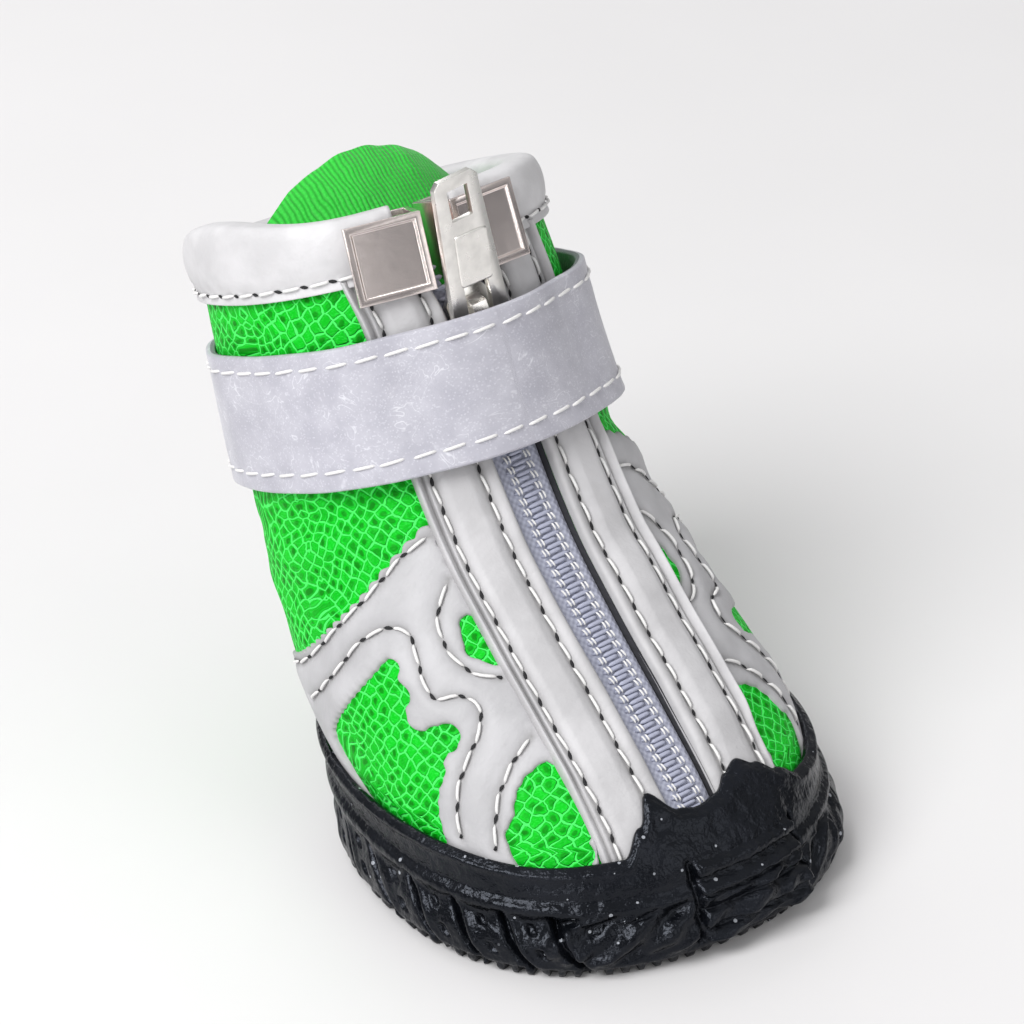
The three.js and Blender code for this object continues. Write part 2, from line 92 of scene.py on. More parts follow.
# y, z, half_width, thick
TONGUE = np.array([
    (-9.2, 20.4, 7.5, 2.0),
    (1.6, 29.6, 10.5, 2.4),
    (11.4, 39.6, 12.5, 2.6),
    (19.0, 51.4, 13.4, 2.8),
    (25.4, 60.4, 14.0, 3.0),
    (32.6, 67.0, 14.8, 3.2),
    (37.4, 70.8, 14.4, 3.2),
    (40.6, 72.8, 12.4, 2.8),
    (42.5, 73.7, 8.9, 1.9),
    (43.2, 74.0, 4.4, 1.1),
])
TONGUE_RADIUS = 18


# ---------------------------------------------------------------- curves
def stack(*columns):
    """Columns side by side on a last axis, broadcast to each other."""
    return np.stack(np.broadcast_arrays(*columns), -1)


def circle(count):
    return np.linspace(0, math.tau, count, endpoint=False)


def run_along(points):
    """Length run from the first row of points to each row."""
    steps = np.linalg.norm(np.diff(points, axis=0), axis=-1)
    return np.concatenate([np.zeros_like(steps[:1]), np.cumsum(steps, axis=0)])


def rounded_off(edge, over):
    """The rise of a quarter round, from 0 at an edge to 1 at a distance inside it."""
    return np.sqrt(1 - (1 - np.clip(edge / over, 0, 1)) ** 2)


def smooth(x):
    x = np.clip(x, 0, 1)
    return x * x * (3 - 2 * x)


def bell(x):
    return np.exp(-x * x)


def curve(table, t):
    """Rows of a table at t, from 0 on its first row to 1 on its last, on a Catmull-Rom curve."""
    t = np.asarray(t, float)
    last = len(table) - 1
    place = np.clip(t, 0, 1) * last
    i = np.minimum(place.astype(int), last - 1)
    u = (place - i).reshape(np.shape(place) + (1,) * (np.ndim(table) - 1))
    a, b, c, d = (table[np.clip(i + k, 0, last)] for k in (-1, 0, 1, 2))
    return b + 0.5 * u * (c - a + u * (2 * a - 5 * b + 4 * c - d + u * (3 * (b - c) + d - a)))


def at_angle(table, turn, column=1):
    """A value at an angle in radians, eased from row to row."""
    angle = np.degrees(turn) % 360
    i = np.clip(np.searchsorted(table[:, 0], angle, side="left") - 1, 0, len(table) - 2)
    u = smooth((angle - table[i, 0]) / (table[i + 1, 0] - table[i, 0]))
    return table[i, column] * (1 - u) + table[i + 1, column] * u


def power(value):
    """A sine or cosine made squarer, for sections between an ellipse and a box."""
    return np.sign(value) * np.abs(value) ** (2 / SQUARENESS)


# ---------------------------------------------------------------- the upper's surface
def last_point(level, turn, offset=0.0):
    """The upper's surface moved out by an offset: level 0 to 1, turn 0 at the toe, right side first."""
    level, turn, offset = np.broadcast_arrays(np.asarray(level, float), turn, offset)
    front_y, front_z, back_y, back_z, half_width, egg = np.moveaxis(curve(LAST, level), -1, 0)
    half_y, half_z = (front_y - back_y) / 2, (front_z - back_z) / 2
    half = np.hypot(half_y, half_z)
    grow = (half + offset) / half
    ahead = power(np.cos(turn))
    aside = -power(np.sin(turn)) * (1 + egg * ahead)
    return stack(aside * (half_width + offset), (front_y + back_y) / 2 + half_y * grow * ahead,
                 (front_z + back_z) / 2 + half_z * grow * ahead)


def unit(v):
    return v / np.maximum(np.linalg.norm(v, axis=-1, keepdims=True), 1e-9)


def last_normal(level, turn):
    d = 4e-3
    along = last_point(np.minimum(level + d, 1), turn) - last_point(np.maximum(level - d, 0), turn)
    around = last_point(level, turn + 5 * d) - last_point(level, turn - 5 * d)
    return unit(np.cross(along, around))


LEVELS = np.linspace(0, 1, 241)
TURNS = np.radians(np.linspace(-180, 180, 721))
AHEAD = len(TURNS) // 2
SHELL = last_point(LEVELS[:, None], TURNS)
ROUND = run_along(np.swapaxes(SHELL, 0, 1)).T
# Millimetres round each level from the front line, and millimetres up the front line
GIRTH = ROUND - ROUND[:, [AHEAD]]
FRONT = run_along(SHELL[:, AHEAD])


def to_surface(u, v):
    """Level and turn of places u mm round from the front line, right side first, and v mm up it."""
    u, v = np.broadcast_arrays(u, v)
    level = np.interp(v, FRONT, LEVELS)
    row = level * (len(LEVELS) - 1)
    low = np.minimum(row.astype(int), len(LEVELS) - 2)
    turn = []
    for distance, k, share in zip(u.ravel(), low.ravel(), (row - low).ravel()):
        a, b = (np.interp(distance, GIRTH[i], TURNS) for i in (k, k + 1))
        turn.append(a + (b - a) * share)
    return level, np.reshape(turn, u.shape)


def to_pattern(level, turn):
    """The reverse: u and v of levels and turns."""
    level, turn = np.broadcast_arrays(level, turn)
    wrapped = (turn + math.pi) % (math.tau) - math.pi
    row = np.clip(np.round(level * (len(LEVELS) - 1)).astype(int), 0, len(LEVELS) - 1)
    u = [np.interp(w, TURNS, GIRTH[k]) for w, k in zip(wrapped.ravel(), row.ravel())]
    return np.reshape(u, level.shape), np.interp(level, LEVELS, FRONT)


# Soft folds pressed into the fabric: u and v of the middle, tilt in degrees from the girth, length, width,
# and depth below the surface, negative for a ridge
CREASES = (
    (24, 55.5, -14, 17, 2.2, 0.75), (27, 50.5, -20, 15, 2.6, -0.4), (31, 44.5, -26, 15, 2.4, 0.55),
    (34, 38.0, -30, 12, 2.8, -0.3), (-24, 55.0, 16, 17, 2.2, 0.7), (-29, 48.0, 22, 15, 2.6, -0.4),
    (-32, 42.5, 28, 14, 2.4, 0.6), (9, 46.5, -8, 6, 3.0, 0.35), (-9, 44.5, 8, 6, 3.0, 0.4),
    (8, 30.0, 10, 6, 3.4, -0.25), (-8, 27.0, -10, 6, 3.4, -0.25), (55, 52.0, 6, 14, 2.6, 0.7),
    (-55, 50.0, -6, 14, 2.6, 0.7), (58, 40.0, 4, 16, 3.2, -0.4), (-58, 38.0, -4, 16, 3.2, -0.4),
)


def crease_height(u, v):
    height = np.zeros(np.shape(u))
    for middle_u, middle_v, tilt, length, width, depth in CREASES:
        c, s = math.cos(math.radians(tilt)), math.sin(math.radians(tilt))
        along = (u - middle_u) * c + (v - middle_v) * s
        across = (v - middle_v) * c - (u - middle_u) * s
        height -= depth * bell(across / width) * bell(along / length * 1.4)
    height = height + 0.12 * np.sin(u * 0.31 + 1.3) * np.sin(v * 0.27)
    return height * (1 - smooth((np.abs(u) - 50) / 10))


def on_surface(level, turn, u, v, height):
    return last_point(level, turn) + last_normal(level, turn) * (height + crease_height(u, v))[..., None]


def on_upper(u, v, height):
    """Points over the upper at a height above it."""
    return on_surface(*to_surface(u, v), u, v, height)


def slot_drift(level):
    """How far the open zip is pulled over to the boot's right."""
    return SLOT.drift * smooth((level - ZIP.slider) / (1 - ZIP.slider))


def slot_half(level):
    share = (level - ZIP.low) / (SLOT.high - ZIP.low)
    return ZIP.half_width + SLOT.margin + SLOT.flare * np.clip(share, 0, 1)


def slot_turn(level, side):
    """The turn at which the zip's slot cuts a section, on the right (side 1) or the left (side -1)."""
    across = side * slot_half(level) - slot_drift(level)
    sine = np.abs(across) / curve(LAST, level)[..., 4]
    return np.sign(across) * np.arcsin(np.clip(sine, 0, 1) ** (SQUARENESS / 2))


def round_from_slot(level, share):
    """Turns from the slot's right edge round the back to its left edge."""
    start, end = slot_turn(level, 1), slot_turn(level, -1) + math.tau
    return start + (end - start) * share


def front_frame(level):
    """The front line's point, its way up and its way out, moved over with the slot's drift."""
    point, d = last_point(level, 0.0), 0.01
    up = unit(last_point(np.minimum(level + d, 1), 0.0) - last_point(np.maximum(level - d, 0), 0.0))
    point[..., 0] += slot_drift(level)
    return point, up, stack(0.0, -up[..., 2], up[..., 1])


# ---------------------------------------------------------------- mesh makers
def make_object(name, points, faces, material, uv=None, painted_shade=None, ride=BODY):
    """A piece from points in millimetres; with no faces given, the points are a grid. uv gives each point
    its pattern millimetres; the last argument gives how much shade is painted on each point, from 0 to 1."""
    if faces is None:
        faces = grid_faces(*points.shape[:2])
    mesh = bpy.data.meshes.new(name)
    mesh.from_pydata((points.reshape(-1, 3) * MM).tolist(), [], [tuple(map(int, f)) for f in faces])
    mesh.validate()
    if uv is not None:
        layer = mesh.uv_layers.new(name="pattern")
        corner = np.empty(len(mesh.loops), np.int32)
        mesh.loops.foreach_get("vertex_index", corner)
        layer.data.foreach_set("uv", np.reshape(uv, (-1, 2)).astype(np.float32)[corner].ravel())
    # Painted shade along seams, grooves and piece edges, stored per point for the leatherette
    if painted_shade is not None:
        painted_shade_amount = mesh.attributes.new("painted_shade", "FLOAT", "POINT")
        painted_shade_amount.data.foreach_set("value", painted_shade.ravel().astype(np.float32))
    mesh.materials.append(material)
    mesh.polygons.foreach_set("use_smooth", [True] * len(mesh.polygons))
    obj = linked(name, mesh)
    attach(obj, ride)
    return obj


def linked(name, data):
    obj = bpy.data.objects.new(name, data)
    bpy.context.collection.objects.link(obj)
    return obj


def grid_faces(rows, columns, around=False, over=False):
    """Quads of a grid of points, closed in either way if asked."""
    r = np.arange(rows if over else rows - 1)
    c = np.arange(columns if around else columns - 1)
    r, c = (a.ravel() for a in np.meshgrid(r, c, indexing="ij"))
    r2, c2 = (r + 1) % rows, (c + 1) % columns
    return np.stack([r * columns + c, r * columns + c2, r2 * columns + c2, r2 * columns + c], 1)


def face_out(obj):
    b = bmesh.new()
    b.from_mesh(obj.data)
    bmesh.ops.recalc_face_normals(b, faces=b.faces)
    b.to_mesh(obj.data)
    b.free()


def join_parts(parts):
    """Points and faces of several (points, faces) parts as one."""
    points, faces, start = [], [], 0
    for p, f in parts:
        points.append(p)
        faces.extend(tuple(int(i) + start for i in face) for face in f)
        start += len(p)
    return np.concatenate(points), faces


def join_grids(grids):
    return join_parts((grid.reshape(-1, 3), grid_faces(*grid.shape[:2])) for grid in grids)


def lofted(rings):
    """Points and faces of a solid through closed rings of points, with flat ends."""
    columns, points = len(rings[0]), np.concatenate(rings)
    faces = [tuple(f) for f in grid_faces(len(rings), columns, around=True)]
    return points, faces + [tuple(range(columns))[::-1], tuple(range(len(points) - columns, len(points)))]


def tube(centres, radius, normals, sides=7, flat=1.0):
    """A closed tube along centres. radius may vary; flat squashes it along the normals."""
    ahead = unit(np.gradient(centres, axis=0))
    normals = unit(normals - ahead * np.sum(normals * ahead, -1, keepdims=True))
    angle = circle(sides)[:, None]
    ring = np.cross(ahead, normals)[:, None] * np.cos(angle) + normals[:, None] * np.sin(angle) * flat
    return lofted(centres[:, None] + ring * np.broadcast_to(radius, len(centres))[:, None, None])


# ---------------------------------------------------------------- pattern lines
def resample(line, step, closed=False):
    """Points every step along a line of (u, v) points."""
    line = np.asarray(line, float)
    if closed:
        line = np.vstack([line, line[:1]])
    lengths = run_along(line)
    count = max(int(round(lengths[-1] / step)), 2)
    places = np.linspace(0, lengths[-1], count + 1)
    if closed:
        places = places[:-1]
    return stack(*(np.interp(places, lengths, column) for column in line.T))


def rounded(line, rounds=2, closed=False):
    """Corners cut off a line, twice by default, which leaves soft ones."""
    line = np.asarray(line, float)
    for _ in range(rounds):
        ahead = np.roll(line, -1, axis=0) if closed else line[1:]
        here = line if closed else line[:-1]
        cut = np.stack([here * 0.75 + ahead * 0.25, here * 0.25 + ahead * 0.75], 1).reshape(-1, 2)
        line = cut if closed else np.vstack([line[:1], cut[1:-1], line[-1:]])
    return line


def line_normals(line):
    """Across a closed line, at each of its points."""
    step = np.roll(line, -1, axis=0) - np.roll(line, 1, axis=0)
    return unit(stack(-step[:, 1], step[:, 0]))


def scalloped(line, depth, pitch):
    """A closed outline with a wavy, pinked edge."""
    length = run_along(np.vstack([line, line[:1]]))
    waves = max(round(length[-1] / pitch), 1)
    phase = length[:-1] / length[-1] * waves * math.pi
    return line + line_normals(line) * (depth * (np.abs(np.sin(phase)) - 0.5))[:, None]


def inside(points, loops):
    """Which points lie inside an odd number of loops."""
    odd = np.zeros(len(points), bool)
    for loop in loops:
        for (ax, ay), (bx, by) in zip(loop, np.roll(loop, -1, axis=0)):
            if ay == by:
                continue
            crosses = (points[:, 1] > min(ay, by)) & (points[:, 1] <= max(ay, by))
            at = ax + (points[:, 1] - ay) / (by - ay) * (bx - ax)
            odd ^= crosses & (points[:, 0] < at)
    return odd


def distance_to(points, lines):
    """How far each point is from the nearest of the lines' points."""
    places = np.vstack(lines)
    tree = KDTree(len(places))
    for i, (x, y) in enumerate(places):
        tree.insert((x, y, 0), i)
    tree.balance()
    return np.array([tree.find((x, y, 0))[2] for x, y in points])


def patch(name, outline, material, holes, thick, seams, step=0.55):
    """A thin sewn piece over the upper, with a rounded edge, pulled down along its seams. Its outline and
    holes are closed loops of (u, v) points."""
    loops = [resample(loop, 0.35, closed=True) for loop in (outline, *holes)]
    fine = [resample(loop, 0.08, closed=True) for loop in loops]
    edges, start = [], 0
    for loop in loops:
        edges += [(start + i, start + (i + 1) % len(loop)) for i in range(len(loop))]
        start += len(loop)
    rings = np.vstack([loop + line_normals(loop) * inset for loop in loops for inset in (-0.1, 0.1, -0.28, 0.28)])
    low, high = np.min(loops[0], axis=0), np.max(loops[0], axis=0)
    across, up = (np.arange(low[k], high[k], step) for k in (0, 1))
    fill = np.stack([a.ravel() for a in np.meshgrid(across, up)], 1)
    fill[:, 0] += (np.round((fill[:, 1] - low[1]) / step).astype(int) % 2) * step / 2
    kept = []
    for cloud, clearance in ((rings, 0.07), (fill, 0.4)):
        cloud = cloud[inside(cloud, loops)]
        kept.append(cloud[distance_to(cloud, fine) > clearance])
    flat = np.vstack([*loops, *kept])
    made = delaunay_2d_cdt([Vector(p) for p in flat], edges, [], 0, 1e-5)
    uv = np.array([tuple(p) for p in made[0]])
    faces = np.array([f for f in made[2] if len(f) == 3])
    faces = faces[inside(uv[faces].mean(axis=1), loops)]
    depth = distance_to(uv, fine)
    height = np.where(depth < 0.04, -0.25, thick * rounded_off(depth, 0.42))
    # Painted shade along the piece's edge, and below along its seams
    painted_shade = 0.5 * bell(depth / 0.35)
    pull = distance_to(uv, [resample(seam, 0.3) for seam in seams])
    height -= 0.3 * bell(pull / 0.5) * smooth(depth / 0.6)
    height += 0.2 * smooth((pull - 0.4) / 1.6) * smooth(depth / 1.4)
    return make_object(name, on_upper(*uv.T, height), faces, material, uv, np.maximum(painted_shade, bell(pull / 0.42)))


# ---------------------------------------------------------------- stitching
THREAD = Sizes(pitch=3.5, radius=0.2, length=0.74, sections=7)


def stitches(centres, normals, seed, pitch=THREAD.pitch, radius=THREAD.radius, share=THREAD.length, ends=True):
    """Threads, and near-black needle-hole marks between them as painted shade, along a dense line of points with
    their normals.
    """
    rng = random.Random(seed)
    length = run_along(centres)
    count = max(int(length[-1] // pitch), 1)
    pitch = length[-1] / count
    threads, holes = [], []

    def at(place):
        p, n = (stack(*(np.interp(place, length, column) for column in a.T)) for a in (centres, normals))
        return p, unit(n)

    for i in range(count):
        middle = (i + 0.5 + rng.uniform(-0.04, 0.04)) * pitch
        half = pitch * share / 2 * rng.uniform(0.94, 1.06)
        s = np.linspace(-1, 1, THREAD.sections)
        p, n = at(np.clip(middle + s * half, 0, length[-1]))
        lean = np.cross(n, unit(np.gradient(p, axis=0))) * (s * rng.uniform(0.05, 0.16))[:, None]
        lift = radius * (1.15 - 1.9 * np.abs(s) ** 4)
        taper = radius * np.sqrt(np.clip(1.04 - np.abs(s) ** 5, 0.05, 1))
        threads.append(tube(p + n * lift[:, None] + lean, taper, n, sides=6))
        if ends:
            # Each gap gets a flat near-black lens: painted shade in the needle hole
            slit = np.array([-0.55, -0.3, 0, 0.3, 0.55]) * rng.uniform(0.8, 1.1)
            q, m = at(np.clip((i + 1) * pitch + slit, 0, length[-1]))
            slant = np.cross(m, unit(np.gradient(q, axis=0) + 1e-9)) * (slit * 0.22)[:, None]
            holes.append(tube(q + m * 0.03 - slant, (0.04, 0.17, 0.22, 0.15, 0.04), m, sides=6, flat=0.35))
    return threads, holes


class Sewing:
    """Collects every thread and needle-hole mark of painted shade, and makes one object of each colour."""

    def __init__(self):
        self.threads, self.holes = [], []

    def row(self, centres, normals, **options):
        threads, holes = stitches(centres, normals, seed=len(self.threads), **options)
        self.threads += threads
        self.holes += holes

    def on_pattern(self, line, height):
        """A row along a line of (u, v) points at a height over the upper."""
        u, v = resample(line, 0.4).T
        level, turn = to_surface(u, v)
        self.row(on_surface(level, turn, u, v, height), last_normal(level, turn))

    def make(self, thread_material, hole_shade_material):
        for name, parts, material in (("stitching", self.threads, thread_material),
                                      ("needle_hole_shades", self.holes, hole_shade_material)):
            points, faces = join_parts(parts)
            make_object(name, points, faces, material)


sewing = Sewing()


# ---------------------------------------------------------------- materials
class Nodes:
    """A material's node tree, with one short call for each kind of node."""

    def __init__(self, name):
        self.material = bpy.data.materials.new(name)
        self.material.use_nodes = True
        self.tree = self.material.node_tree
        self.shader = self.tree.nodes["Principled BSDF"]

    def new(self, kind, inputs=(), **settings):
        node = self.tree.nodes.new("ShaderNode" + kind)
        for key, value in settings.items():
            setattr(node, key, value)
        for key, value in dict(inputs).items():
            self.set(node.inputs[key], value)
        return node

    def set(self, socket, value):
        if isinstance(value, bpy.types.NodeSocket):
            self.tree.links.new(value, socket)
        else:
            socket.default_value = value

    def math(self, operation, a, b=0.0, c=0.0, clamp=False):
        node = self.new("Math", operation=operation, use_clamp=clamp)
        for socket, value in zip(node.inputs, (a, b, c)):
            self.set(socket, value)
        return node.outputs[0]

    def vector(self, operation, a, b=(0, 0, 0), scale=None):
        node = self.new("VectorMath", operation=operation)
        self.set(node.inputs[0], a)
        self.set(node.inputs[1], b)
        if scale is not None:
            self.set(node.inputs["Scale"], scale)
        return node.outputs["Value" if operation in ("LENGTH", "DOT_PRODUCT") else "Vector"]

    def step(self, value, low, high):
        inputs = {"Value": value, "From Min": low, "From Max": high}
        return self.new("MapRange", inputs, interpolation_type="SMOOTHSTEP").outputs[0]

    def mix(self, factor, a, b):
        return self.new("Mix", {"Factor": factor, "A": a, "B": b}, data_type="RGBA").outputs["Result"]

    def noise(self, vector, scale, detail=2.0, roughness=0.5):
        inputs = {"Vector": vector, "Scale": scale, "Detail": detail, "Roughness": roughness}
        return self.new("TexNoise", inputs).outputs["Fac"]

    def cells(self, vector, scale, randomness=1.0, feature="F1", output="Distance"):
        inputs = {"Vector": vector, "Scale": scale, "Randomness": randomness}
        return self.new("TexVoronoi", inputs, feature=feature).outputs[output]

    def pattern(self):
        """Millimetres over the cloth."""
        return self.new("UVMap", uv_map="pattern").outputs[0]

    def place(self):
        """Millimetres in space."""
        return self.vector("SCALE", self.new("TexCoord").outputs["Object"], scale=1000.0)

    def bump(self, height, strength, distance):
        """Relief of a height from 0 to 1; distance is in millimetres."""
        node = self.new("Bump", {"Height": height, "Strength": strength, "Distance": distance * MM})
        if self.shader.inputs["Normal"].is_linked:
            self.set(node.inputs["Normal"], self.shader.inputs["Normal"].links[0].from_socket)
        self.set(self.shader.inputs["Normal"], node.outputs[0])

    def finish(self, **inputs):
        for key, value in inputs.items():
            self.set(self.shader.inputs[key.replace("_", " ")], value)
        return self.material


for short, operation in (("add", "ADD"), ("sub", "SUBTRACT"), ("mul", "MULTIPLY"), ("mul_add", "MULTIPLY_ADD")):
    setattr(Nodes, short, partialmethod(Nodes.math, operation))


def rgb(red, green, blue):
    return (red, green, blue, 1.0)


def dimmed(colour, share):
    return rgb(*(c * share for c in colour[:3]))


def mesh_cloth(name, thread, cell, hole, pitch=1.42):
    """Sandwich mesh: pale threads round uneven cells, some with a dark middle painted in as the shade inside their
    openings.
    """
    n = Nodes(name)
    where = n.pattern()
    wobble = n.new("TexNoise", {"Vector": where, "Scale": 0.5, "Detail": 2.0}).outputs["Color"]
    wobble = n.vector("SUBTRACT", wobble, (0.5, 0.5, 0.5))
    where = n.vector("ADD", where, n.vector("SCALE", wobble, scale=1.2))
    diamonds = n.new("Mapping", {"Vector": where, "Rotation": (0.0, 0.0, math.radians(40))})
    lattice = {"Vector": diamonds.outputs[0], "Scale": 1 / pitch, "Randomness": 0.4}
    edge, centre = (n.new("TexVoronoi", lattice, feature=feature, voronoi_dimensions="2D").outputs
                    for feature in ("DISTANCE_TO_EDGE", "F1"))
    luck = n.new("SeparateColor", {"Color": centre["Color"]})
    web = n.sub(1.0, n.step(edge["Distance"], 0.045, 0.135))
    fibres = n.noise(n.vector("MULTIPLY", where, (1.0, 2.0, 1)), 2.6, 3.0, 0.6)
    opening = n.sub(1.0, n.step(centre["Distance"], 0.14, 0.36))
    opening = n.mul(opening, n.step(luck.outputs[0], 0.1, 0.55))
    deep = n.mul_add(luck.outputs[1], 0.35, 0.65)
    fill = n.mix(n.mul(n.step(fibres, 0.45, 0.7), 0.3), cell, thread)
    # The dark green is painted shade: cells take a little of it at random, and the openings take it fully
    fill = n.mix(n.mul(luck.outputs[2], 0.25), fill, hole)
    fill = n.mix(n.mul(opening, deep), fill, hole)
    relief = n.sub(n.mul_add(web, 0.8, n.mul(fibres, 0.25)), n.mul(opening, 0.3))
    n.bump(relief, 0.9, 0.38)
    return n.finish(Base_Color=n.mix(web, fill, thread), Roughness=0.55, Specular_IOR_Level=0.12)


def leatherette(name, colour):
    """Smooth coated cloth with a fine pebble, faint pulls and worn patches."""
    n = Nodes(name)
    where = n.place()
    broad = n.noise(where, 0.16, 3.0)
    fine = n.cells(where, 2.6, feature="SMOOTH_F1")
    pulls = n.noise(n.vector("MULTIPLY", where, (0.35, 1.0, 0.35)), 0.9, 3.0)
    darker = dimmed(colour, 0.86)
    shade = n.mix(n.step(broad, 0.35, 0.65), darker, colour)
    n.bump(pulls, 0.3, 0.5)
    n.bump(fine, 0.3, 0.08)
    # Painted shade: darkens the cloth towards near-black grey along seams, grooves and piece edges, as marked per
    # point on the mesh
    painted_shade_amount = n.new("Attribute", attribute_name="painted_shade").outputs["Fac"]
    shade = n.mix(n.mul(painted_shade_amount, 0.62), shade, rgb(0.19, 0.185, 0.18))
    rough = n.mul_add(broad, 0.16, 0.46)
    return n.finish(Base_Color=shade, Roughness=rough, Specular_IOR_Level=0.4)


def reflective_cloth(name):
    """Grey reflective webbing: pale glass-bead glints painted into the colour, faint scratches and a fine weave."""
    n = Nodes(name)
    where = n.pattern()
    beads = n.cells(where, 5.5)
    flakes = n.vector("FLOOR", n.vector("SCALE", where, scale=6.0))
    painted_glint = n.new("TexWhiteNoise", {"Vector": flakes})
    broad = n.noise(where, 0.2, 4.0, 0.6)
    swirl = n.new("TexNoise", {"Vector": where, "Scale": 0.16, "Detail": 2.0, "Distortion": 2.2})
    ridge = n.math("ABSOLUTE", n.sub(swirl.outputs["Fac"], 0.5))
    scratch = n.mul(n.sub(1.0, n.step(ridge, 0.002, 0.012)), n.step(broad, 0.45, 0.6))
    colour = n.mix(n.step(broad, 0.3, 0.7), rgb(0.40, 0.395, 0.45), rgb(0.49, 0.485, 0.54))
    # Pale flecks: painted glints of the glass beads
    colour = n.mix(n.mul(n.step(painted_glint.outputs["Value"], 0.8, 1.0), 0.3), colour, rgb(0.75, 0.75, 0.8))
    colour = n.mix(n.mul(scratch, 0.5), colour, rgb(0.8, 0.8, 0.84))
    n.bump(n.noise(where, 0.45, 3.0), 0.25, 0.4)
    n.bump(beads, 0.3, 0.05)
    return n.finish(Base_Color=colour, Roughness=0.46, Sheen_Weight=0.2)


def knit(name, bright, dark):
    """Ribbed knit: fine rows of loops that run up the piece."""
    n = Nodes(name)
    where = n.pattern()
    wander = n.noise(where, 0.22, 2.0)
    split = n.new("SeparateXYZ", {"Vector": where})
    along = n.add(split.outputs["X"], n.mul(wander, 1.1))
    rib = n.math("ABSOLUTE", n.math("SINE", n.mul(along, 5.4)))
    loop = n.math("ABSOLUTE", n.math("SINE", n.mul(split.outputs["Y"], 5.2)))
    fibre = n.noise(n.vector("MULTIPLY", where, (6, 1.2, 1)), 1.4, 4.0, 0.65)
    relief = n.add(n.mul(rib, 0.7), n.mul(n.mul(loop, rib), 0.25))
    relief = n.add(relief, n.mul(fibre, 0.4))
    n.bump(n.noise(n.vector("MULTIPLY", where, (1.0, 0.35, 1)), 0.5, 3.0), 0.6, 0.7)
    # Darker in the grooves between the ribs: painted shade, with fibre tone at random
    colour = n.mix(n.step(n.add(n.mul(rib, 0.7), n.mul(fibre, 0.6)), 0.35, 1.05), dark, bright)
    n.bump(relief, 0.7, 0.22)
    return n.finish(Base_Color=colour, Roughness=0.6, Sheen_Weight=0.2)


def rubber(name):
    """Moulded black rubber with a satin skin, fine grain and pale dust."""
    n = Nodes(name)
    where = n.place()
    broad = n.noise(where, 0.11, 4.0, 0.6)
    grain = n.noise(where, 2.2, 4.0, 0.7)
    luck = n.new("SeparateColor", {"Color": n.cells(where, 0.62, output="Color")}).outputs[0]
    speck = n.math("LESS_THAN", n.cells(where, 0.62), n.mul(luck, 0.16))
    speck = n.mul(speck, n.step(luck, 0.62, 0.7))
    colour = n.mix(n.step(broad, 0.35, 0.7), rgb(0.0025, 0.003, 0.0042), rgb(0.006, 0.0068, 0.0095))
    colour = n.mix(n.mul(n.step(grain, 0.58, 0.8), 0.14), colour, rgb(0.04, 0.044, 0.055))
    colour = n.mix(n.mul(speck, 0.75), colour, rgb(0.42, 0.44, 0.48))
    rough = n.mul_add(n.step(broad, 0.3, 0.7), 0.12, 0.15)
    n.bump(broad, 0.4, 0.8)
    n.bump(n.noise(where, 0.5, 3.0, 0.55), 0.8, 0.6)
    n.bump(grain, 0.45, 0.1)
    bluish = rgb(0.8, 0.86, 1.0)
    return n.finish(Base_Color=colour, Roughness=rough, Specular_IOR_Level=0.24, Specular_Tint=bluish)


def nickel(name, colour, roughness):
    """Bright plate with faint brushing and smears."""
    n = Nodes(name)
    where = n.place()
    brushed = n.noise(n.vector("MULTIPLY", where, (1.0, 9.0, 1.0)), 0.9, 3.0, 0.6)
    smear = n.noise(where, 0.5, 3.0)
    rough = n.mul_add(smear, 0.14, roughness)
    tarnished = dimmed(colour, 0.86)
    n.bump(brushed, 0.08, 0.03)
    n.bump(smear, 0.06, 0.3)
    colour = n.mix(n.step(smear, 0.35, 0.75), colour, tarnished)
    return n.finish(Base_Color=colour, Metallic=1.0, Roughness=rough)


def woven(name, light, dark, pitch=0.5):
    """Close plain weave, for the zip's tape, the insole and the lining."""
    n = Nodes(name)
    where = n.vector("SCALE", n.pattern(), scale=math.pi / pitch)
    split = n.new("SeparateXYZ", {"Vector": where})
    warp = n.math("SINE", split.outputs["X"])
    weft = n.math("SINE", split.outputs["Y"])
    relief = n.mul_add(n.mul(warp, weft), 0.5, 0.5)
    worn = n.noise(n.pattern(), 0.5, 3.0)
    # Darker where the weave dips: painted shade, with worn noise as random tone
    colour = n.mix(n.mul_add(relief, 0.6, n.mul(worn, 0.35), clamp=True), dark, light)
    n.bump(relief, 0.6, 0.12)
    return n.finish(Base_Color=colour, Roughness=0.7, Sheen_Weight=0.1)


def thread(name, colour):
    n = Nodes(name)
    ply = n.noise(n.vector("MULTIPLY", n.place(), (3, 3, 3)), 1.6, 2.0)
    n.bump(ply, 0.5, 0.08)
    shade = dimmed(colour, 0.8)
    return n.finish(Base_Color=n.mix(ply, shade, colour), Roughness=0.55, Sheen_Weight=0.2)


def moulded(name, colour, roughness):
    n = Nodes(name)
    grain = n.noise(n.place(), 3.0, 3.0)
    n.bump(grain, 0.2, 0.04)
    deep = dimmed(colour, 0.75)
    return n.finish(Base_Color=n.mix(grain, deep, colour), Roughness=roughness)


GREEN_THREAD = rgb(0.075, 0.97, 0.14)
GREEN_CELL = rgb(0.0, 0.54, 0.012)
# Painted shade inside the mesh's openings
GREEN_OPENING_SHADE = rgb(0.0, 0.20, 0.002)
LEATHER_GREY = rgb(0.56, 0.552, 0.565)
# Lighter copy of the grey leatherette for the collar: painted light where it faces up
COLLAR_GREY_LIT = rgb(0.64, 0.632, 0.645)
# Darker copy for the overlays: painted shade on the boot's lower sides
OVERLAY_GREY_SHADED = rgb(0.50, 0.495, 0.51)

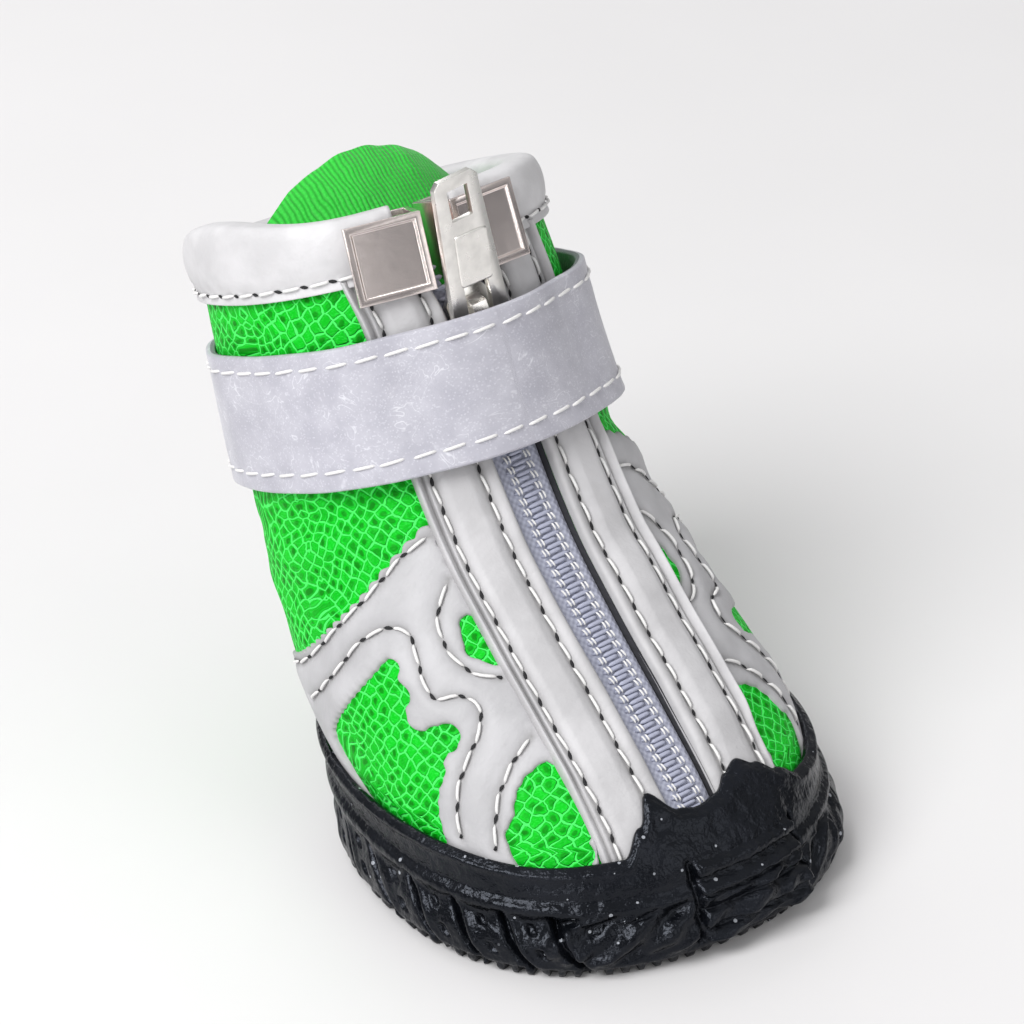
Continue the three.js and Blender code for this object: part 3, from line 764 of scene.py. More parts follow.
mat_mesh = mesh_cloth("green_mesh", GREEN_THREAD, GREEN_CELL, GREEN_OPENING_SHADE)
mat_leather = leatherette("grey_leatherette", LEATHER_GREY)
mat_collar_lit = leatherette("collar_leatherette_lit", COLLAR_GREY_LIT)
mat_overlay_shaded = leatherette("overlay_leatherette_shaded", OVERLAY_GREY_SHADED)
# Paler, brighter copy of the clip's nickel: painted highlight on the clips' rolled borders
mat_clip_border_highlight = nickel("cream_nickel_highlight", rgb(0.97, 0.93, 0.86), 0.42)
mat_strap = reflective_cloth("reflective_strap")
mat_loop = woven("strap_loop_face", rgb(0.34, 0.34, 0.38), rgb(0.2, 0.2, 0.23), 0.35)
mat_knit = knit("green_knit", rgb(0.006, 0.56, 0.022), rgb(0.001, 0.37, 0.01))
mat_rubber = rubber("black_rubber")
mat_tab = nickel("pale_nickel", rgb(0.93, 0.91, 0.87), 0.22)
mat_clip = nickel("rosy_nickel", rgb(0.86, 0.77, 0.74), 0.16)
mat_tape = woven("zip_tape", rgb(0.58, 0.6, 0.71), rgb(0.27, 0.28, 0.37), 0.45)
# Near-black: painted shade inside the zip's slot
mat_slot_shade = woven("slot_facing_shade", rgb(0.03, 0.03, 0.036), rgb(0.012, 0.012, 0.015), 0.5)
mat_coil = moulded("zip_coil", rgb(0.45, 0.47, 0.59), 0.4)
mat_thread = thread("white_thread", rgb(0.86, 0.85, 0.84))
# Near-black: painted shade in the needle holes
mat_hole_shade = moulded("needle_hole_shade", rgb(0.012, 0.012, 0.014), 0.8)
mat_lining = woven("lining", rgb(0.05, 0.42, 0.07), rgb(0.01, 0.2, 0.02), 0.7)
mat_insole = woven("insole_cloth", rgb(0.08, 0.08, 0.085), rgb(0.03, 0.03, 0.033), 0.6)


# ---------------------------------------------------------------- upper
def laid_flat(points, u, rows=23, columns=41, rounds=2500):
    """Pattern places of a grid of points, as near as the cloth comes to lying flat without stretch."""
    r, c = (np.linspace(0, n - 1, kept).round().astype(int) for n, kept in zip(points.shape, (rows, columns)))
    coarse = points[np.ix_(r, c)]
    flat = stack(u[np.ix_(r, c)], run_along(coarse))
    near, far, every = slice(None, -1), slice(1, None), slice(None)
    springs = []
    for here, there in (((every, near), (every, far)), ((near, every), (far, every)),
                        ((near, near), (far, far)), ((near, far), (far, near))):
        springs.append((here, there, np.linalg.norm(coarse[there] - coarse[here], axis=-1)))
    for _ in range(rounds):
        move = np.zeros_like(flat)
        for here, there, length in springs:
            gap = flat[there] - flat[here]
            now = np.maximum(np.linalg.norm(gap, axis=-1), 1e-6)
            shift = gap * (0.13 * (1 - length / now))[..., None]
            move[here] += shift
            move[there] -= shift
        flat += move
    fine_r, fine_c = (np.arange(n) for n in points.shape[:2])
    down = [[np.interp(fine_r, r, flat[:, k, a]) for k in range(columns)] for a in (0, 1)]
    return stack(*([np.interp(fine_c, c, line) for line in np.transpose(axis)] for axis in down))


def make_upper():
    levels = np.linspace(0, 0.962, 110)
    even = np.linspace(0, 1, 281)
    share = smooth(even * 0.9 + 0.05)
    share = 0.55 * (share - share[0]) / (share[-1] - share[0]) + 0.45 * even
    solid_toe = levels < ZIP.low
    start = np.where(solid_toe, 1e-3, slot_turn(levels, 1))[:, None]
    end = np.where(solid_toe, math.tau - 1e-3, slot_turn(levels, -1) + math.tau)[:, None]
    level, turn = levels[:, None], start + (end - start) * share
    u, v = to_pattern(level, turn)
    outer, inner = (on_surface(level, turn, u, v, height) for height in (0, -WALL))
    uv = laid_flat(outer, u)
    outer_shell = make_object("upper_mesh", outer, None, mat_mesh, uv)
    lining = make_object("upper_lining", inner, grid_faces(*u.shape)[:, ::-1], mat_lining, uv)
    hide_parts("upper")
    make_placket(levels[~solid_toe, None])


def make_placket(level):
    """The facing inside the slot, both cut edges and a strip behind the zip, in near-black as painted shade."""
    depths = np.linspace(0.1, -WALL - 0.1, 5)
    sheets = []
    for side in (-1, 1):
        turn = slot_turn(level, side) + 0 * depths
        sheets.append(on_surface(level, turn, *to_pattern(level, turn), depths))
    behind = level[level < 0.84][:, None]
    sheets.append(zip_points(np.linspace(-1, 1, 9) * (slot_half(behind) + 0.5), behind, -WALL + 0.15))
    points, faces = join_grids(sheets)
    make_object("slot_facing_shade", points, faces, mat_slot_shade, points[:, [0, 2]])


def slot_edge(side, v, gap):
    """The pattern's u at the zip's slot, with a small margin, at distances up the front line."""
    level = np.interp(v, FRONT, LEVELS)
    return side * (slot_half(level) + gap) - slot_drift(level)


# Sewn pieces, drawn for the boot's right in millimetres over the surface: u round from the front line,
# v up it. The left side's are the same, mirrored.
GUSSET = Sizes(low=7.0, high=83.0, outer=13.4, bead=12.8, groove=12.15, outer_seam=11.2, inner_seam=5.5,
               tab_at=73.0)
OVERLAY_TOP = {1: [(12.4, 53.6), (15.9, 51.7), (20.8, 47.9), (27.0, 42.6), (33.7, 37.4)],
               -1: [(12.4, 56.4), (15.9, 55.6), (20.8, 53.0), (27.0, 47.8), (33.7, 41.0)]}
OVERLAY = [(40.3, 32.7), (46.5, 28.6), (52.0, 25.4), (57.0, 23.0), (57.5, 6.0), (50.0, 4.4), (42.0, 3.8),
           (34.0, 3.6), (24.0, 3.4), (12.4, 3.2)]
WINDOWS = [
    [(25.9, 35.4), (28.2, 33.3), (32.4, 29.9), (38.2, 24.9), (44.9, 19.2), (48.9, 15.0), (50.0, 11.8),
     (49.0, 7.0), (42.5, 5.6), (36.0, 5.2), (32.7, 5.8), (31.8, 11.2), (29.4, 15.9), (26.9, 18.8),
     (26.1, 21.4), (23.0, 23.2), (21.6, 26.4), (24.2, 26.2), (27.6, 24.2), (28.6, 25.4), (27.6, 28.0),
     (25.4, 30.0), (26.6, 32.4), (24.6, 34.4)],
    [(13.0, 41.6), (15.2, 40.2), (15.5, 38.0), (16.3, 36.0), (14.6, 34.9), (12.8, 33.6)],
    [(12.9, 21.6), (15.5, 20.4), (17.6, 19.0), (19.8, 16.3), (21.0, 13.6), (23.1, 11.6), (23.4, 9.2),
     (22.8, 5.4), (12.9, 4.8)],
]
OVERLAY_SEAMS = [
    [(13.6, 51.6), (17.4, 49.9), (21.6, 46.4), (26.6, 42.3), (32.8, 37.3), (40.8, 31.2), (47.6, 26.6),
     (55.0, 22.8)],
    [(51.5, 19.0), (46.0, 23.0), (41.0, 26.8), (34.0, 32.6), (29.0, 37.0), (25.4, 39.2), (22.6, 40.2), (21.2, 38.8),
     (22.2, 35.4), (23.2, 30.6), (22.6, 29.6), (19.4, 30.6), (17.8, 29.4), (18.8, 26.4), (21.4, 23.2), (24.9, 18.9),
     (27.6, 14.6), (29.4, 9.5)],
    [(13.7, 45.9), (16.6, 42.4), (18.2, 38.6), (17.7, 34.6), (16.0, 32.9), (13.8, 32.4)],
    [(13.9, 24.6), (17.2, 21.9), (20.7, 17.8), (22.9, 14.4), (25.2, 9.0)],
]


def mirrored(line, side):
    return np.asarray(line, float) * (side, 1)


def make_gusset(side, name):
    """The padded strip beside the zip: a folded inner edge, two seams, and a beaded outer edge. The left
    one gives way round the pull tab's pin."""
    v = np.linspace(GUSSET.low, GUSSET.high, 150)[:, None]
    shift = slot_drift(np.interp(v, FRONT, LEVELS)) * 0.6
    inner = side * (slot_edge(side, v, -0.1 if side > 0 else 0.05) + shift)
    if side < 0:
        inner += 0.7 * bell((v - GUSSET.tab_at) / 3.2)
    across = inner + (GUSSET.outer - inner) * np.linspace(0, 1, 84)
    edge = np.minimum(across - inner, GUSSET.outer - across)
    height = 0.75 * rounded_off(edge, 0.5)
    height += 0.75 * bell((across - GUSSET.bead) / 0.36) - 0.6 * bell((across - GUSSET.groove) / 0.2)
    height += 0.5 * smooth((across - GUSSET.inner_seam - 0.2) / 1.6) * smooth((GUSSET.outer_seam - across) / 1.6)
    height += 0.35 * bell((across - 4.2) / 0.7)
    # Painted shade at the strip's edges, in the bead's groove and along both seams
    painted_shade = np.maximum(0.5 * bell(edge / 0.3), 0.9 * bell((across - GUSSET.groove) / 0.16))
    for seam in (GUSSET.outer_seam, GUSSET.inner_seam):
        height -= 0.34 * bell((across - seam) / 0.45)
        painted_shade = np.maximum(painted_shade, bell((across - seam) / 0.4))
        sewing.on_pattern(stack(side * seam - shift, v)[:, 0], 0.52)
    height = np.where(edge < 0.02, -0.3, height * (0.45 + 0.55 * smooth((v - 14.5) / 5)))
    u = side * across - shift
    strip = make_object(name, on_upper(u, v, height), None, mat_leather, stack(u, v), painted_shade)
    face_out(strip)


def make_overlay(side, name):
    outline = mirrored(OVERLAY_TOP[side] + OVERLAY, side)
    outline = scalloped(resample(rounded(outline, 1, closed=True), 0.3, closed=True), 0.52, 2.7)
    holes = [scalloped(resample(rounded(mirrored(window, side), 2, closed=True), 0.3, closed=True), 0.18, 2.5)
             for window in WINDOWS]
    seams = [resample(rounded(mirrored(line, side)), 0.4) for line in OVERLAY_SEAMS]
    patch(name, outline, mat_overlay_shaded, holes, 0.45, seams)
    for line in seams:
        sewing.on_pattern(line, 0.36)


BACKSTAY = Sizes(half=4.6, seam=3.4, low=9.0, high=83.0)


def make_backstay():
    """A narrow strip over the seam down the back of the heel."""
    v = np.linspace(BACKSTAY.low, BACKSTAY.high, 130)[:, None]
    across = np.sin(np.linspace(-1, 1, 41) * math.pi / 2) * BACKSTAY.half + 0 * v
    half_girth = np.interp(v, FRONT, GIRTH[:, -1])
    level, turn = to_surface(np.where(across < 0, half_girth + across, across - half_girth), v)
    edge, seam = BACKSTAY.half - np.abs(across), np.abs(np.abs(across) - BACKSTAY.seam)
    height = 0.55 * rounded_off(edge, 0.5) - 0.25 * bell(seam / 0.45)
    height += 0.35 * smooth((BACKSTAY.seam - 0.4 - np.abs(across)) / 1.6) - 0.1
    # Painted shade along both seams and the strip's edges
    painted_shade = np.maximum(bell(seam / 0.42), 0.5 * bell(edge / 0.35))
    points = last_point(level, turn) + last_normal(level, turn) * height[..., None]
    strip = make_object("backstay", points, None, mat_leather, stack(across, v), painted_shade)
    face_out(strip)
    v = np.linspace(BACKSTAY.low + 2, BACKSTAY.high, 200)
    for side in (-1, 1):
        level, turn = to_surface(side * (np.interp(v, FRONT, GIRTH[:, -1]) - BACKSTAY.seam), v)
        normals = last_normal(level, turn)
        sewing.row(last_point(level, turn) + normals * 0.22, normals)


# ---------------------------------------------------------------- sole
def spring(y):
    """How far the sole lifts off the floor at the toe and the heel."""
    toe = np.clip((TOE_SPRING.start - y) / TOE_SPRING.length, 0, None)
    heel = np.clip((y - HEEL_BEVEL.start) / HEEL_BEVEL.length, 0, None)
    return TOE_SPRING.height * toe ** 2 + HEEL_BEVEL.height * heel ** 2


def sole_ring(turn, inset, height):
    """A ring of the sole's outline, moved in and up."""
    ahead = power(np.cos(turn))
    y = -(SOLE.half_length - inset) * ahead
    x = -(SOLE.half_width - inset) * power(np.sin(turn)) * (1 + SOLE.egg * ahead)
    return stack(x, y, height + spring(y))


def level_at(height, turn, offset):
    """The level where the surface, moved out by an offset, reaches a height."""
    low, high = np.zeros_like(turn), np.ones_like(turn)
    for _ in range(22):
        middle = (low + high) / 2
        under = last_point(middle, turn, offset)[..., 2] < height
        low, high = np.where(under, middle, low), np.where(under, high, middle)
    return low


def cup_ring(turn, part, offset):
    """A ring round the cup, part of the way from the floor to its rim."""
    rim = level_at(at_angle(CUP_RIM, turn), turn, offset)
    return last_point(rim * part, turn, offset)


SIPES = Sizes(first=42, apart=13.25, count=9, depth=1.3, width=0.62, sweep=10)
LUGS = Sizes(count=92, reach=0.7)
PITS = Sizes(half=0.5, depth=0.6, heights=(3.4, 5.7))
LEDGE = Sizes(height=8.6, depth=0.75)
TOE_PANEL = Sizes(middle=-7, half=12.5, low=2.2, high=11.5, ribs=5)


def falling(x, at, over):
    return 1 - smooth((x - at) / over)


def sole_relief(turn, z):
    """How far the side wall stands out, by angle and height: ledge, sipes, pits, lumps, lugs and toe panel."""
    degrees = (np.degrees(turn) + 180) % 360 - 180
    out = LEDGE.depth * falling(z, LEDGE.height, 0.7) * smooth(z - 0.8)
    out += 0.25 * bell((z - LEDGE.height + 0.5) / 0.6)
    reach = smooth((LEDGE.height - 0.6 - z) / 0.8)
    lean = SIPES.sweep * np.clip((LEDGE.height - 0.9 - z) / 7.0, 0, 1) ** 1.7
    for side in (-1, 1):
        for i in range(SIPES.count):
            line = SIPES.first + SIPES.apart * i - lean
            away = side * degrees - line
            out -= SIPES.depth * bell(away / (SIPES.width * 1.6)) * reach
            out += 0.28 * bell((away + 2.1) / 1.6) * reach * smooth((z - 1.0) / 2.0)
            wide = (np.abs(away - SIPES.apart / 2) * 0.47 - PITS.half) / 0.18
            for height in PITS.heights:
                tall = (np.abs(z - height) - PITS.half) / 0.25
                out -= PITS.depth * (1 - smooth(wide + 0.5)) * (1 - smooth(tall + 0.5))
    lumps = np.sin(turn * 19 + 0.8) * np.sin(z * 0.9 + turn * 6) + 0.5 * np.sin(turn * 41 + z * 2.2)
    out += 0.6 * lumps * falling(np.abs(degrees), 40, 8) * smooth((z - 1.8) / 1.2) * falling(z, 7.0, 1.2)
    out += LUGS.reach * smooth((np.sin(turn * LUGS.count) + 0.25) / 0.5) * falling(z, 0.9, 0.7)
    facet = 0.16 * np.abs(np.sin(turn * 34)) * falling(np.abs(degrees), 36, 6)
    out += facet * smooth((z - 2.5) / 1.5) * falling(z, 7.2, 1.0)
    across = np.abs(degrees - TOE_PANEL.middle)
    tall = smooth((z - TOE_PANEL.low) / 0.6) * falling(z, TOE_PANEL.high, 0.6)
    share = (z - TOE_PANEL.low) / (TOE_PANEL.high - TOE_PANEL.low)
    rib = np.abs(np.sin(share * math.pi * TOE_PANEL.ribs))
    out += falling(across, TOE_PANEL.half, 0.8) * tall * (0.1 + 0.8 * smooth((rib - 0.4) / 0.25))
    return out - 0.95 * bell((across - TOE_PANEL.half - 1.2) / 0.75) * tall


def make_outsole():
    turn = circle(900)
    keys = [sole_ring(turn, *row) for row in ((1.0, 0.0), (0.2, 1.2), (0, 2.8), (0.1, 4.4))]
    keys += [cup_ring(turn, part, CUP_GAP + SOLE.wall * (1.3 - 0.75 * part)) for part in (0.25, 0.5, 0.75, 1)]
    share = np.linspace(0, 1, 62)
    wall = curve(np.array(keys), share)
    rim_out, rim_in = wall[-1], cup_ring(turn, 1, CUP_GAP)
    around = unit(np.roll(wall, -1, axis=1) - np.roll(wall, 1, axis=1))
    normal = unit(np.cross(unit(np.gradient(wall, axis=0)), around))
    sign = np.sign(np.sum(normal * (wall - np.array([0, 0, 10])), -1, keepdims=True))
    relief = sole_relief(np.broadcast_to(turn, wall.shape[:2]), wall[..., 2])
    relief = relief * smooth((1 - share) / 0.06)[:, None] + 0.4 * bell((share - 0.955) / 0.035)[:, None]
    wall = wall + normal * sign * relief[..., None]
    wall[..., 2] = np.maximum(wall[..., 2], 0.02)
    rim = [rim_out * 0.75 + rim_in * 0.25 + (0, 0, 0.32), rim_out * 0.4 + rim_in * 0.6 + (0, 0, 0.36)]
    inner = [cup_ring(turn, part, CUP_GAP) for part in (0.9, 0.7, 0.4)]
    floor = last_point(0.0, turn, CUP_GAP)
    floor[:, 2] = SOLE.floor
    groove = ((9, SOLE.plate), (6.6, SOLE.plate), (5.6, 0.35), (5.2, 0), (3.2, 0), (2.6, 0.5), (2, 0.5), (1.5, 0.05))
    under = [sole_ring(turn, *row) for row in groove]
    parts = [lofted([*under, *wall, *rim, rim_in, *inner, floor])]
    points, faces = join_parts(parts + [tread_bar(i * 5.6) for i in range(-3, 4)])
    sole = make_object("rubber_cup_sole", points, faces, mat_rubber)
    face_out(sole)
    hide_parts("outsole")


def tread_bar(y):
    """One swept bar under the sole, with chamfered edges."""
    reach = 0.66 * SOLE.half_width * math.sqrt(max(0.12, 1 - (y / (SOLE.half_length - 6)) ** 2))
    lift = 0.5 if 2 < y < 14 else 0.0
    outline = np.array([(-reach, y + 0.7), (0, y - 1.7), (reach, y + 0.7), (reach, y + 4.1), (0, y + 1.7),
                        (-reach, y + 4.1)])
    middle = np.mean(outline, axis=0)
    return lofted([np.column_stack([middle + (outline - middle) * grow, np.full(6, z)])
                   for grow, z in ((1.0, 1.9), (1.0, lift + 0.35), (0.93, lift))])


# ---------------------------------------------------------------- collar
RISE = Sizes(height=3.0, at=98, spread=40)


def make_collar():
    """A padded band folded over the top edge, sewn along its foot."""
    profile = np.array([
        (BINDING_LOW, 0.35), (BINDING_LOW - 0.002, 0.95), (BINDING_LOW + 0.014, 0.85), (BINDING_LOW + 0.03, 1.35),
        (0.95, 1.62), (0.972, 1.45), (0.988, 1.0), (0.998, 0.15), (1.0, -0.9), (0.998, -1.9), (0.988, -2.7),
        (0.972, -3.1), (0.95, -3.15), (BINDING_LOW + 0.02, -2.9), (BINDING_LOW, -2.5), (BINDING_LOW, -1.95),
        (0.94, -1.95), (0.968, -1.6), (0.968, -0.2), (0.94, 0.32),
    ])
    level, height = curve(np.vstack([profile, profile[:1]]), np.linspace(0, 1, 97)[:-1]).T
    level = np.minimum(level, 1.0)
    s = np.linspace(0, 1, 260)[:, None]
    turn = round_from_slot(0.96, s)
    offset = -0.8 + (height + 0.8) * (0.75 + 0.25 * smooth(np.minimum(s, 1 - s) * 52))
    offset = offset + 0.14 * np.sin(turn * 9 + 0.6) * bell((level - 0.95) / 0.03) * (height > 0.5)
    risen = RISE.height * bell((np.degrees(turn) - RISE.at) / RISE.spread)
    risen = risen * smooth((level - BINDING_LOW) / (1 - BINDING_LOW))
    points, faces = lofted(last_point(level, turn, offset) + risen[..., None] * np.array([0, 0.25, 0.97]))
    collar = make_object("collar_band", points, faces, mat_collar_lit, stack(turn * 20, level * 90))
    face_out(collar)
    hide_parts("collar_binding")
    level = BINDING_LOW + 0.014
    turn = round_from_slot(level, np.linspace(0.02, 0.98, 400))
    sewing.row(last_point(level, turn, 0.98), last_normal(level, turn))


# ---------------------------------------------------------------- strap
def strap_point(part, turn, out):
    """part 0 at the strap's lower edge, 1 at its upper edge; out from its inner face."""
    stand = at_angle(STRAP_STANDOFF, turn, 1) * (1 - part) + at_angle(STRAP_STANDOFF, turn, 2) * part
    wave = 0.12 * np.sin(turn * 7 + part * 2.0) + 0.08 * np.sin(turn * 13 - part * 3.0)
    level = STRAP.low + (STRAP.high - STRAP.low) * part
    return last_point(level, turn, stand + out + wave)


def make_strap():
    turn = circle(420)
    half, parts = STRAP.thick / 2, np.linspace(0.02, 0.98, 15)
    bends = np.radians(np.linspace(70, -70, 5))
    section = [(part, STRAP.thick) for part in parts]
    section += [(0.98 + 0.02 * math.cos(a), half + half * math.sin(a)) for a in bends]
    section += [(part, 0.0) for part in parts[::-1]]
    section += [(0.02 - 0.02 * math.cos(a), half + half * math.sin(a)) for a in bends[::-1]]
    loop_face = range(17, 36)
    points, uv = [], []
    for part, out in section:
        dip = 0.12 * (bell((part - 0.13) / 0.03) + bell((part - 0.87) / 0.03)) * (out > half)
        points.append(strap_point(part, turn, out - dip))
        uv.append(stack(turn * 22, part * 17 + (20 if out < half else 0)))
    faces = grid_faces(len(section), len(turn), around=True, over=True)
    strap = make_object("ankle_strap", np.array(points), faces, mat_strap, uv)
    strap.data.materials.append(mat_loop)
    for polygon in strap.data.polygons:
        polygon.material_index = int(polygon.index // len(turn) in loop_face)
    face_out(strap)
    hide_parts("strap")
    dense = np.linspace(0, math.tau, 900)
    for part in (0.13, 0.87):
        points = strap_point(part, dense, STRAP.thick - 0.1)
        sewing.row(points, last_normal(STRAP.low, dense), pitch=3.6, ends=False, share=0.9)


def make_strap_end():
    """The strap's loose end, laid over itself on the boot's left and held by its hook face."""
    turn = np.radians(np.linspace(232, 284, 90))
    parts = np.linspace(0.05, 0.95, 13)
    section = [(part, 1.0) for part in parts] + [(part, 0.12) for part in parts[::-1]]
    points, uv = [], []
    for part, out in section:
        reach = 1 - 0.4 * max(abs(part - 0.5) * 2 - 0.55, 0) ** 2
        bent = turn[0] + (turn - turn[0]) * reach
        points.append(strap_point(part, bent, STRAP.thick + out))
        uv.append(stack(bent * 22 + 300, part * 17))
    rows, columns = len(section), len(turn)
    faces = [tuple(f) for f in grid_faces(rows, columns, over=True)]
    faces += [tuple(i * columns for i in range(rows)), tuple(i * columns - 1 for i in range(rows, 0, -1))]
    end_piece = make_object("strap_end", np.array(points), faces, mat_strap, uv)
    face_out(end_piece)
    line = np.radians(np.linspace(234, 280, 160))
    for part in (0.14, 0.86):
        points = strap_point(part, line, STRAP.thick + 0.98)
        sewing.row(points, last_normal(STRAP.low, line), ends=False, share=0.9)


# ---------------------------------------------------------------- tongue and insole
def make_tongue():
    across = np.sin(np.linspace(-1, 1, 61) * math.pi / 2)
    t = (1 - np.linspace(1, 0, 150) ** 1.35)[:, None]
    y, z, half, thick = np.moveaxis(curve(TONGUE, t), -1, 0)
    rise = curve(TONGUE, np.minimum(t + 0.01, 1)) - curve(TONGUE, np.maximum(t - 0.01, 0))
    up = unit(stack(0.0, rise[..., 0], rise[..., 1]))
    middle, inward = stack(0.0, y, z), stack(0.0, up[..., 2], -up[..., 1])
    faces_of = []
    for side, less in ((-1, 0), (1, 0.2)):
        x = across * (half - less)
        back = thick * 0.5 + x ** 2 / (2 * TONGUE_RADIUS) + side * thick * 0.5 * (1 - np.abs(across) ** 3)
        folds = 0.2 * np.sin(x * 1.1 + 0.6) * np.sin(x * 0.45 + t * 3) * smooth((t - 0.5) / 0.3)
        faces_of.append(middle + stack(x, 0.0, 0.0) + inward * (back + folds)[..., None])
    front, rear = faces_of
    uv = stack(across * half, run_along(middle))
    points, faces = lofted(np.concatenate([front, rear[:, -2:0:-1]], 1))
    tongue = make_object("knit_tongue", points, faces, mat_knit, np.concatenate([uv, uv[:, -2:0:-1]], 1))
    face_out(tongue)
    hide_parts("tongue")


def make_insole():
    turn = circle(120)
    rings = []
    for shrink, z in ((0.6, 4.9), (0.5, 5.8), (0.8, 6.4), (1.6, 6.6), (6, 6.5), (12, 6.35), (18, 6.3)):
        ring = last_point(0.0, turn, -shrink - WALL)
        ring[:, 2] = z
        rings.append(ring)
    points, faces = lofted(rings)
    insole = make_object("insole_pad", points, faces, mat_insole, points[:, :2])
    face_out(insole)
    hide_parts("insole")


# ---------------------------------------------------------------- zip
COIL = Sizes(pitch=1.3, radius=0.27, reach=1.9, overlap=0.9)


def zip_points(x, level, height):
    point, _, out = front_frame(level)
    return point + stack(x, 0.0, 0.0) + out * np.asarray(height)[..., None]


def chain_half(level):
    return ZIP.half_width + SLOT.flare * (level - ZIP.low) / (SLOT.high - ZIP.low)


def coil_loop(x, v, height, radius, sides, skew=0.0):
    """One loop of the coil, along x across the zip, v mm up the front line."""
    s = np.linspace(0, 1, len(x))
    level = np.interp(v, FRONT, LEVELS)
    _, up, out = front_frame(level)
    centres = zip_points(x, level, height) + up * (skew * (s - 0.5))[:, None]
    return tube(centres, radius * np.sqrt(np.clip(1.02 - np.abs(2 * s - 1) ** 6, 0.1, 1)), out, sides=sides)


def make_zip():
    level = np.linspace(ZIP.low, ZIP.slider, 160)[:, None]
    across = np.linspace(-1, 1, 25)
    x = across * (chain_half(level) + 0.15)
    points = zip_points(x, level, -ZIP.depth - 0.15 - 0.35 * smooth((np.abs(across) - 0.82) / 0.18))
    tape = make_object("zip_tape", points, None, mat_tape, stack(x, np.interp(level, LEVELS, FRONT)))
    low, high = FRONT[int(ZIP.low * 240)], np.interp(ZIP.slider, LEVELS, FRONT)
    s = np.linspace(0, 1, 9)
    height = -ZIP.depth + 0.16 - 0.16 * (2 * s - 0.7) ** 2
    loops = []
    for i, v in enumerate(np.arange(low + 0.4, high, COIL.pitch / 2)):
        side = -1 if i % 2 else 1
        x = side * ((COIL.reach + COIL.overlap) * s - COIL.overlap)
        loops.append(coil_loop(x, v, height, COIL.radius, 8, 0.18 * side))
    coil = make_object("zip_coil", *join_parts(loops), mat_coil)
    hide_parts("zip_chain")
    level = np.interp(np.linspace(low + 0.2, high, 700), FRONT, LEVELS)
    for x in (-1.62, -1.12, 1.12, 1.62):
        centres = zip_points(x, level, -ZIP.depth + 0.3)
        sewing.row(centres, front_frame(level)[2], pitch=COIL.pitch, radius=0.125, ends=False)
    make_zip_halves()


def make_zip_halves():
    """The open halves above the slider, each with its tape and its own row of loops."""
    level = np.linspace(ZIP.slider - 0.01, 0.905, 40)[:, None]
    across, s = np.linspace(0, 1, 9), np.linspace(0, 1, 7)
    tapes, loops = [], []
    for side in (-1, 1):
        x = side * (chain_half(level) + 0.3 - 2.2 * across)
        tapes.append(zip_points(x, level, -ZIP.depth - 0.4 + 0.2 * across))
        for v in np.arange(*np.interp([ZIP.slider, 0.9], LEVELS, FRONT), COIL.pitch):
            x = side * (chain_half(np.interp(v, FRONT, LEVELS)) - 2.35 + 1.9 * s)
            loops.append(coil_loop(x, v, -ZIP.depth + 0.2 - 0.25 * (2 * s - 0.6) ** 2, 0.3, 7))
    points, faces = join_grids(tapes)
    make_object("zip_tape_open", points, faces, mat_tape, points[:, [0, 2]])
    points, faces = join_parts(loops)
    make_object("zip_coil_open", points, faces, mat_coil)


# ---------------------------------------------------------------- metal
CLIP_BORDER = 0.85
CLIP_STEP = 0.26


def softened(node, name, material, body, width, bordered=False):
    """A copy of a metal CAD node with its edges rounded, standing in for it. A bordered one has its widest
    face pressed in, inside a raised border; all but that face take a paler nickel, a painted highlight on the rolled
    edge."""
    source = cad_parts[node]
    mesh = source.data.copy()
    b = bmesh.new()
    b.from_mesh(mesh)
    bmesh.ops.remove_doubles(b, verts=b.verts, dist=1e-6)
    bmesh.ops.dissolve_limit(b, angle_limit=math.radians(2), verts=b.verts, edges=b.edges)
    if bordered:
        widest = max(b.faces, key=lambda f: f.calc_area() * (1.2 if f.normal.y < -0.2 else 0.5))
        for face in b.faces:
            face.material_index = 1
        for inset in (CLIP_BORDER, 0.1):
            bmesh.ops.inset_individual(b, faces=[widest], thickness=inset * MM, use_even_offset=True)
        bmesh.ops.translate(b, verts=widest.verts, vec=widest.normal * -CLIP_STEP * MM)
        widest.material_index = 0
    b.to_mesh(mesh)
    b.free()
    mesh.materials.clear()
    mesh.materials.append(material)
    if bordered:
        mesh.materials.append(mat_clip_border_highlight)
    obj = linked(name, mesh)
    obj.matrix_world = source.matrix_world.copy()
    bevel = obj.modifiers.new("edges", "BEVEL")
    bevel.width = width * MM
    bevel.segments = 3
    bevel.limit_method = "ANGLE"
    bevel.angle_limit = math.radians(28)
    bevel.harden_normals = True
    for polygon in mesh.polygons:
        polygon.use_smooth = True
    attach(obj, body)
    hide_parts(node)
    return obj


def make_metal():
    softened("zip_slider", "slider", mat_tab, BODY, 0.16)
    softened("pull_tab", "tab", mat_tab, TAB_BODY, 0.16)
    softened("end_clip_right", "clip_right", mat_clip, BODY, 0.14, bordered=True)
    softened("end_clip_left", "clip_left", mat_clip, BODY, 0.14, bordered=True)
    make_tab_panel()


TAB_PANEL = Sizes(half_width=2.3, half_length=3.3, corner=0.5, shift=-0.1, height=0.18)


